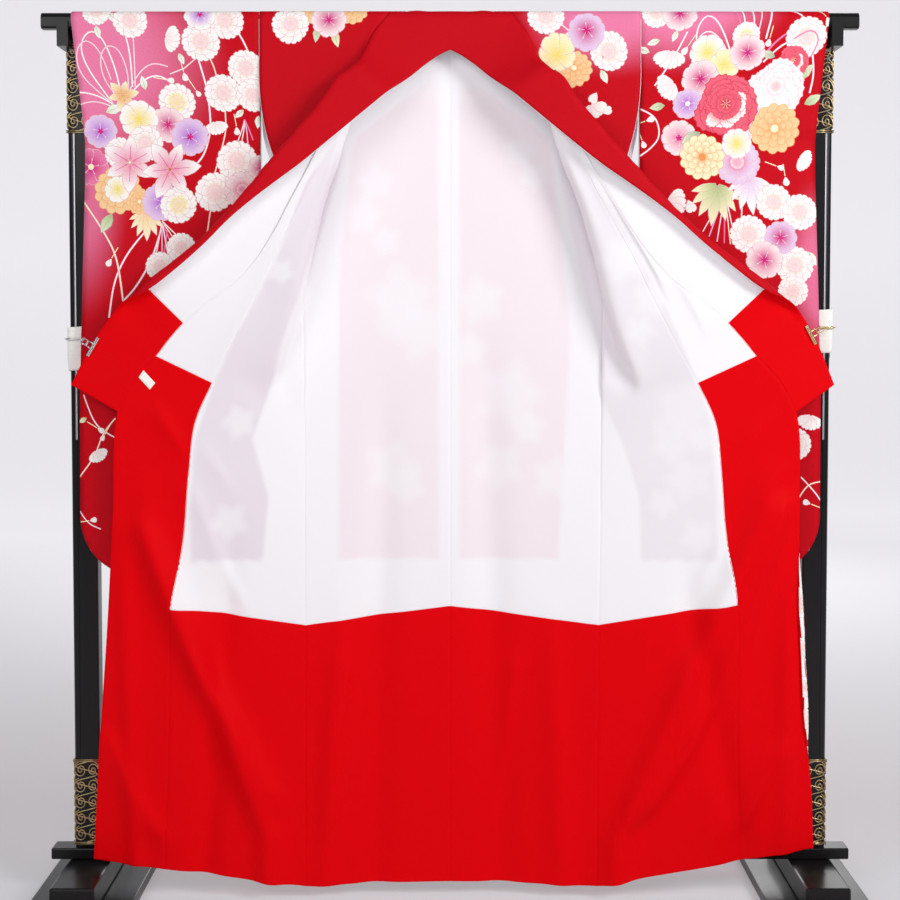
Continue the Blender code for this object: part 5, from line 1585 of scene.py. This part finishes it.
def make_wrap(side, word, cotton):
    """A strip of cotton wound up the post, each turn over the edge of the last."""
    per_turn, across = 40, 6
    up = WRAP_TURNS * per_turn
    strip = COTTON_STRIP_WIDTH
    rise = (WRAP_HEIGHT - strip) / up
    centre_height = WRAP_CENTRE_HEIGHT + (RIGHT_WRAP_RAISED if side > 0 else 0.0)
    half = np.array((POST_WIDTH + MOULDING_WIDTH, POST_DEPTH)) / 2 + 0.8 * MM
    middle = side * (POST_OUT + MOULDING_WIDTH / 2)
    rows = []
    for i in range(up + 1):
        angle = 2 * math.pi * i / per_turn
        cos, sin = math.cos(angle), math.sin(angle)
        boxed = squared(cos, sin)
        for j in range(across + 1):
            share = j / across
            out = (1.0 + 1.7 * (1 - share) + 0.25 * math.sin(3 * angle + 9 * share)) * MM
            height = centre_height - WRAP_HEIGHT / 2 + rise * i + strip * (1 - share)
            rows.append(((half[0] + out) * boxed * cos, (half[1] + out) * boxed * sin, height))
    mesh = bmesh.new()
    bmesh.ops.create_grid(mesh, x_segments=across, y_segments=up, size=1.0)
    mesh.verts.ensure_lookup_table()
    for vertex in mesh.verts:
        column = int(round((vertex.co.x + 1) / 2 * across))
        row = int(round((vertex.co.y + 1) / 2 * up))
        x, y, z = rows[row * (across + 1) + column]
        vertex.co = (middle + x, y, z)
    mesh.verts.index_update()
    flat = np.array([(vertex.co.x, vertex.co.z) for vertex in mesh.verts])
    away = np.array([(v.co.x - middle, v.co.y, 0.0) for v in mesh.verts])
    item = laid_out("cotton_wrap_" + word, mesh, flat, away, [cotton], COTTON_THICKNESS)
    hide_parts("post_wrap_" + word)


def make_label(okumi, cotton):
    """The small bare label, sewn flat on the okumi's lining beside the collar seam."""
    shares = np.linspace(0.5, 1.0, 120)
    downs = np.linspace(0.74, 0.90, 160)
    share, down = (grid.ravel() for grid in np.meshgrid(shares, downs))
    found = okumi.at(share, down, IN_LIFT - 0.9 * MM)
    corners = np.array(LABEL, float) * MM
    mesh = bmesh.new()
    bmesh.ops.create_grid(mesh, x_segments=10, y_segments=5, size=1.0)
    flat = []
    for vertex in mesh.verts:
        u, v = (vertex.co.x + 1) / 2, (vertex.co.y + 1) / 2
        x, z = ((corners[0] * (1 - u) + corners[1] * u) * (1 - v)
                + (corners[3] * (1 - u) + corners[2] * u) * v)
        near = np.argmin(np.hypot(found[:, 0] - x, found[:, 2] - z))
        flat.append((u * LABEL_LENGTH, v * LABEL_WIDTH))
        vertex.co = (x, found[near, 1], z)
    mesh.verts.index_update()
    towards = np.array([(0.0, -1.0, 0.0)] * len(flat))
    item = laid_out("label_cloth", mesh, np.array(flat), towards, [cotton], 0.4 * MM)
    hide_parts("label")


# Studio

FLOOR_REACH = 9.0
FLOOR_BACK = 5.5
SWEEP_RADIUS = 1.5
WALL_TOP = 7.0
CAMERA_LENS = 60.44
CAMERA_SHIFT = -0.0744
CAMERA_DISTANCE = 2.75
CAMERA_HEIGHT = 1.07
CAMERA_PITCH = math.radians(87.5)
GARMENT_MIDDLE = 0.9
# Each soft light: name, place, size in metres, power in watts.
LIGHTS = (("key", (-2.0, -2.7, 2.4), 1.8, 34.0), ("fill", (2.5, -2.3, 2.4), 1.2, 70.0),
          ("front", (0.0, -3.4, 2.0), 1.6, 21.0), ("back", (0.6, 3.6, 2.4), 2.4, 60.0))


def make_studio():
    """A pale paper floor that sweeps up into a wall and glows as painted light, a little brighter towards
    its back.
    """
    mesh = bmesh.new()
    profile = [(-FLOOR_REACH, 0.0), (FLOOR_BACK, 0.0)]
    profile += [(FLOOR_BACK + SWEEP_RADIUS * math.sin(turn),
                 SWEEP_RADIUS - SWEEP_RADIUS * math.cos(turn))
                for turn in np.linspace(0.0, math.pi / 2, 13)[1:]]
    profile.append((FLOOR_BACK + SWEEP_RADIUS, WALL_TOP))
    edge = [mesh.verts.new((-FLOOR_REACH, y, z)) for y, z in profile]
    edges = [mesh.edges.new(pair) for pair in zip(edge, edge[1:])]
    moved = bmesh.ops.extrude_edge_only(mesh, edges=edges)
    verts = [part for part in moved["geom"] if isinstance(part, bmesh.types.BMVert)]
    bmesh.ops.translate(mesh, vec=(2 * FLOOR_REACH, 0.0, 0.0), verts=verts)
    bmesh.ops.recalc_face_normals(mesh, faces=mesh.faces)
    data = mesh_of("studio_floor", mesh)
    data.shade_smooth()
    floor = in_scene("studio_floor", data)
    material, nodes, links, shader = new_material("pale_paper")
    place = nodes.new("ShaderNodeTexCoord")
    split = nodes.new("ShaderNodeSeparateXYZ")
    # Painted light: the paper glows, weakly near the garment and more strongly towards its back.
    glow = nodes.new("ShaderNodeMapRange")
    for socket, value in (("From Min", 0.5), ("From Max", 4.5), ("To Min", 0.20), ("To Max", 0.62)):
        glow.inputs[socket].default_value = value
    links.new(place.outputs["Object"], split.inputs["Vector"])
    links.new(split.outputs["Y"], glow.inputs["Value"])
    links.new(glow.outputs["Result"], shader.inputs["Emission Strength"])
    shader.inputs["Base Color"].default_value = (0.52, 0.51, 0.53, 1.0)
    shader.inputs["Roughness"].default_value = 0.9
    shader.inputs["Emission Color"].default_value = (0.95, 0.94, 0.97, 1.0)
    data.materials.append(material)


def make_metal(name, colour, roughness):
    material, _, _, shader = new_material(name)
    shader.inputs["Base Color"].default_value = (*colour, 1.0)
    shader.inputs["Metallic"].default_value = 1.0
    shader.inputs["Roughness"].default_value = roughness
    return material


def make_lacquer():
    """Deep black lacquer with a clear coat and the faintest unevenness in its polish."""
    material, nodes, links, shader = new_material("black_lacquer")
    shader.inputs["Base Color"].default_value = (0.008, 0.007, 0.008, 1.0)
    shader.inputs["Specular IOR Level"].default_value = 0.22
    shader.inputs["Coat Weight"].default_value = 0.10
    shader.inputs["Coat Roughness"].default_value = 0.08
    place = nodes.new("ShaderNodeTexCoord")
    noise = nodes.new("ShaderNodeTexNoise")
    noise.inputs["Scale"].default_value = 9.0
    noise.inputs["Detail"].default_value = 4.0
    links.new(place.outputs["Object"], noise.inputs["Vector"])
    shade = nodes.new("ShaderNodeMapRange")
    shade.inputs["To Min"].default_value = 0.24
    shade.inputs["To Max"].default_value = 0.40
    links.new(noise.outputs["Fac"], shade.inputs["Value"])
    links.new(shade.outputs["Result"], shader.inputs["Roughness"])
    return material


def make_camera():
    lens = bpy.data.cameras.new("camera")
    lens.lens = CAMERA_LENS
    lens.sensor_width = 36.0
    lens.shift_y = CAMERA_SHIFT
    camera = in_scene("camera", lens)
    camera.location = (0.0, BAR_Y - CAMERA_DISTANCE, CAMERA_HEIGHT)
    camera.rotation_euler = (CAMERA_PITCH, 0.0, 0.0)
    bpy.context.scene.camera = camera


def make_lights():
    for name, place, size, power in LIGHTS:
        lamp = bpy.data.lights.new(name, "AREA")
        lamp.size = size
        lamp.energy = power
        item = in_scene(name, lamp)
        item.location = place
        aim = Vector((0.0, 0.0, GARMENT_MIDDLE)) - Vector(place)
        item.rotation_mode = "QUATERNION"
        item.rotation_quaternion = aim.to_track_quat("-Z", "Y")
    world = bpy.data.worlds.new("studio")
    bpy.context.scene.world = world
    world.use_nodes = True
    world.node_tree.nodes["Background"].inputs["Color"].default_value = (0.95, 0.95, 1.0, 1.0)
    world.node_tree.nodes["Background"].inputs["Strength"].default_value = 0.17
    bpy.context.scene.view_settings.view_transform = "Standard"


def main():
    make_camera()
    finishes = make_finishes()
    make_garment(finishes)
    cotton = silk("white_cotton", tuple(dye(252, 250, 244)), 0.9, 0.1, 700.0, 0.5, 0.05)
    # The pale metal for the line beside each moulding is a painted highlight.
    make_stand(make_lacquer(), make_metal("gold_scrollwork", (0.66, 0.50, 0.26), 0.32),
               make_metal("painted_highlight_strip", (0.62, 0.60, 0.64), 0.4), cotton,
               make_metal("clip_steel", (0.74, 0.74, 0.76), 0.22),
               make_metal("clip_brass", (0.80, 0.64, 0.34), 0.26))
    make_label(okumi_cloth(-1), cotton)
    make_studio()
    make_lights()


main()
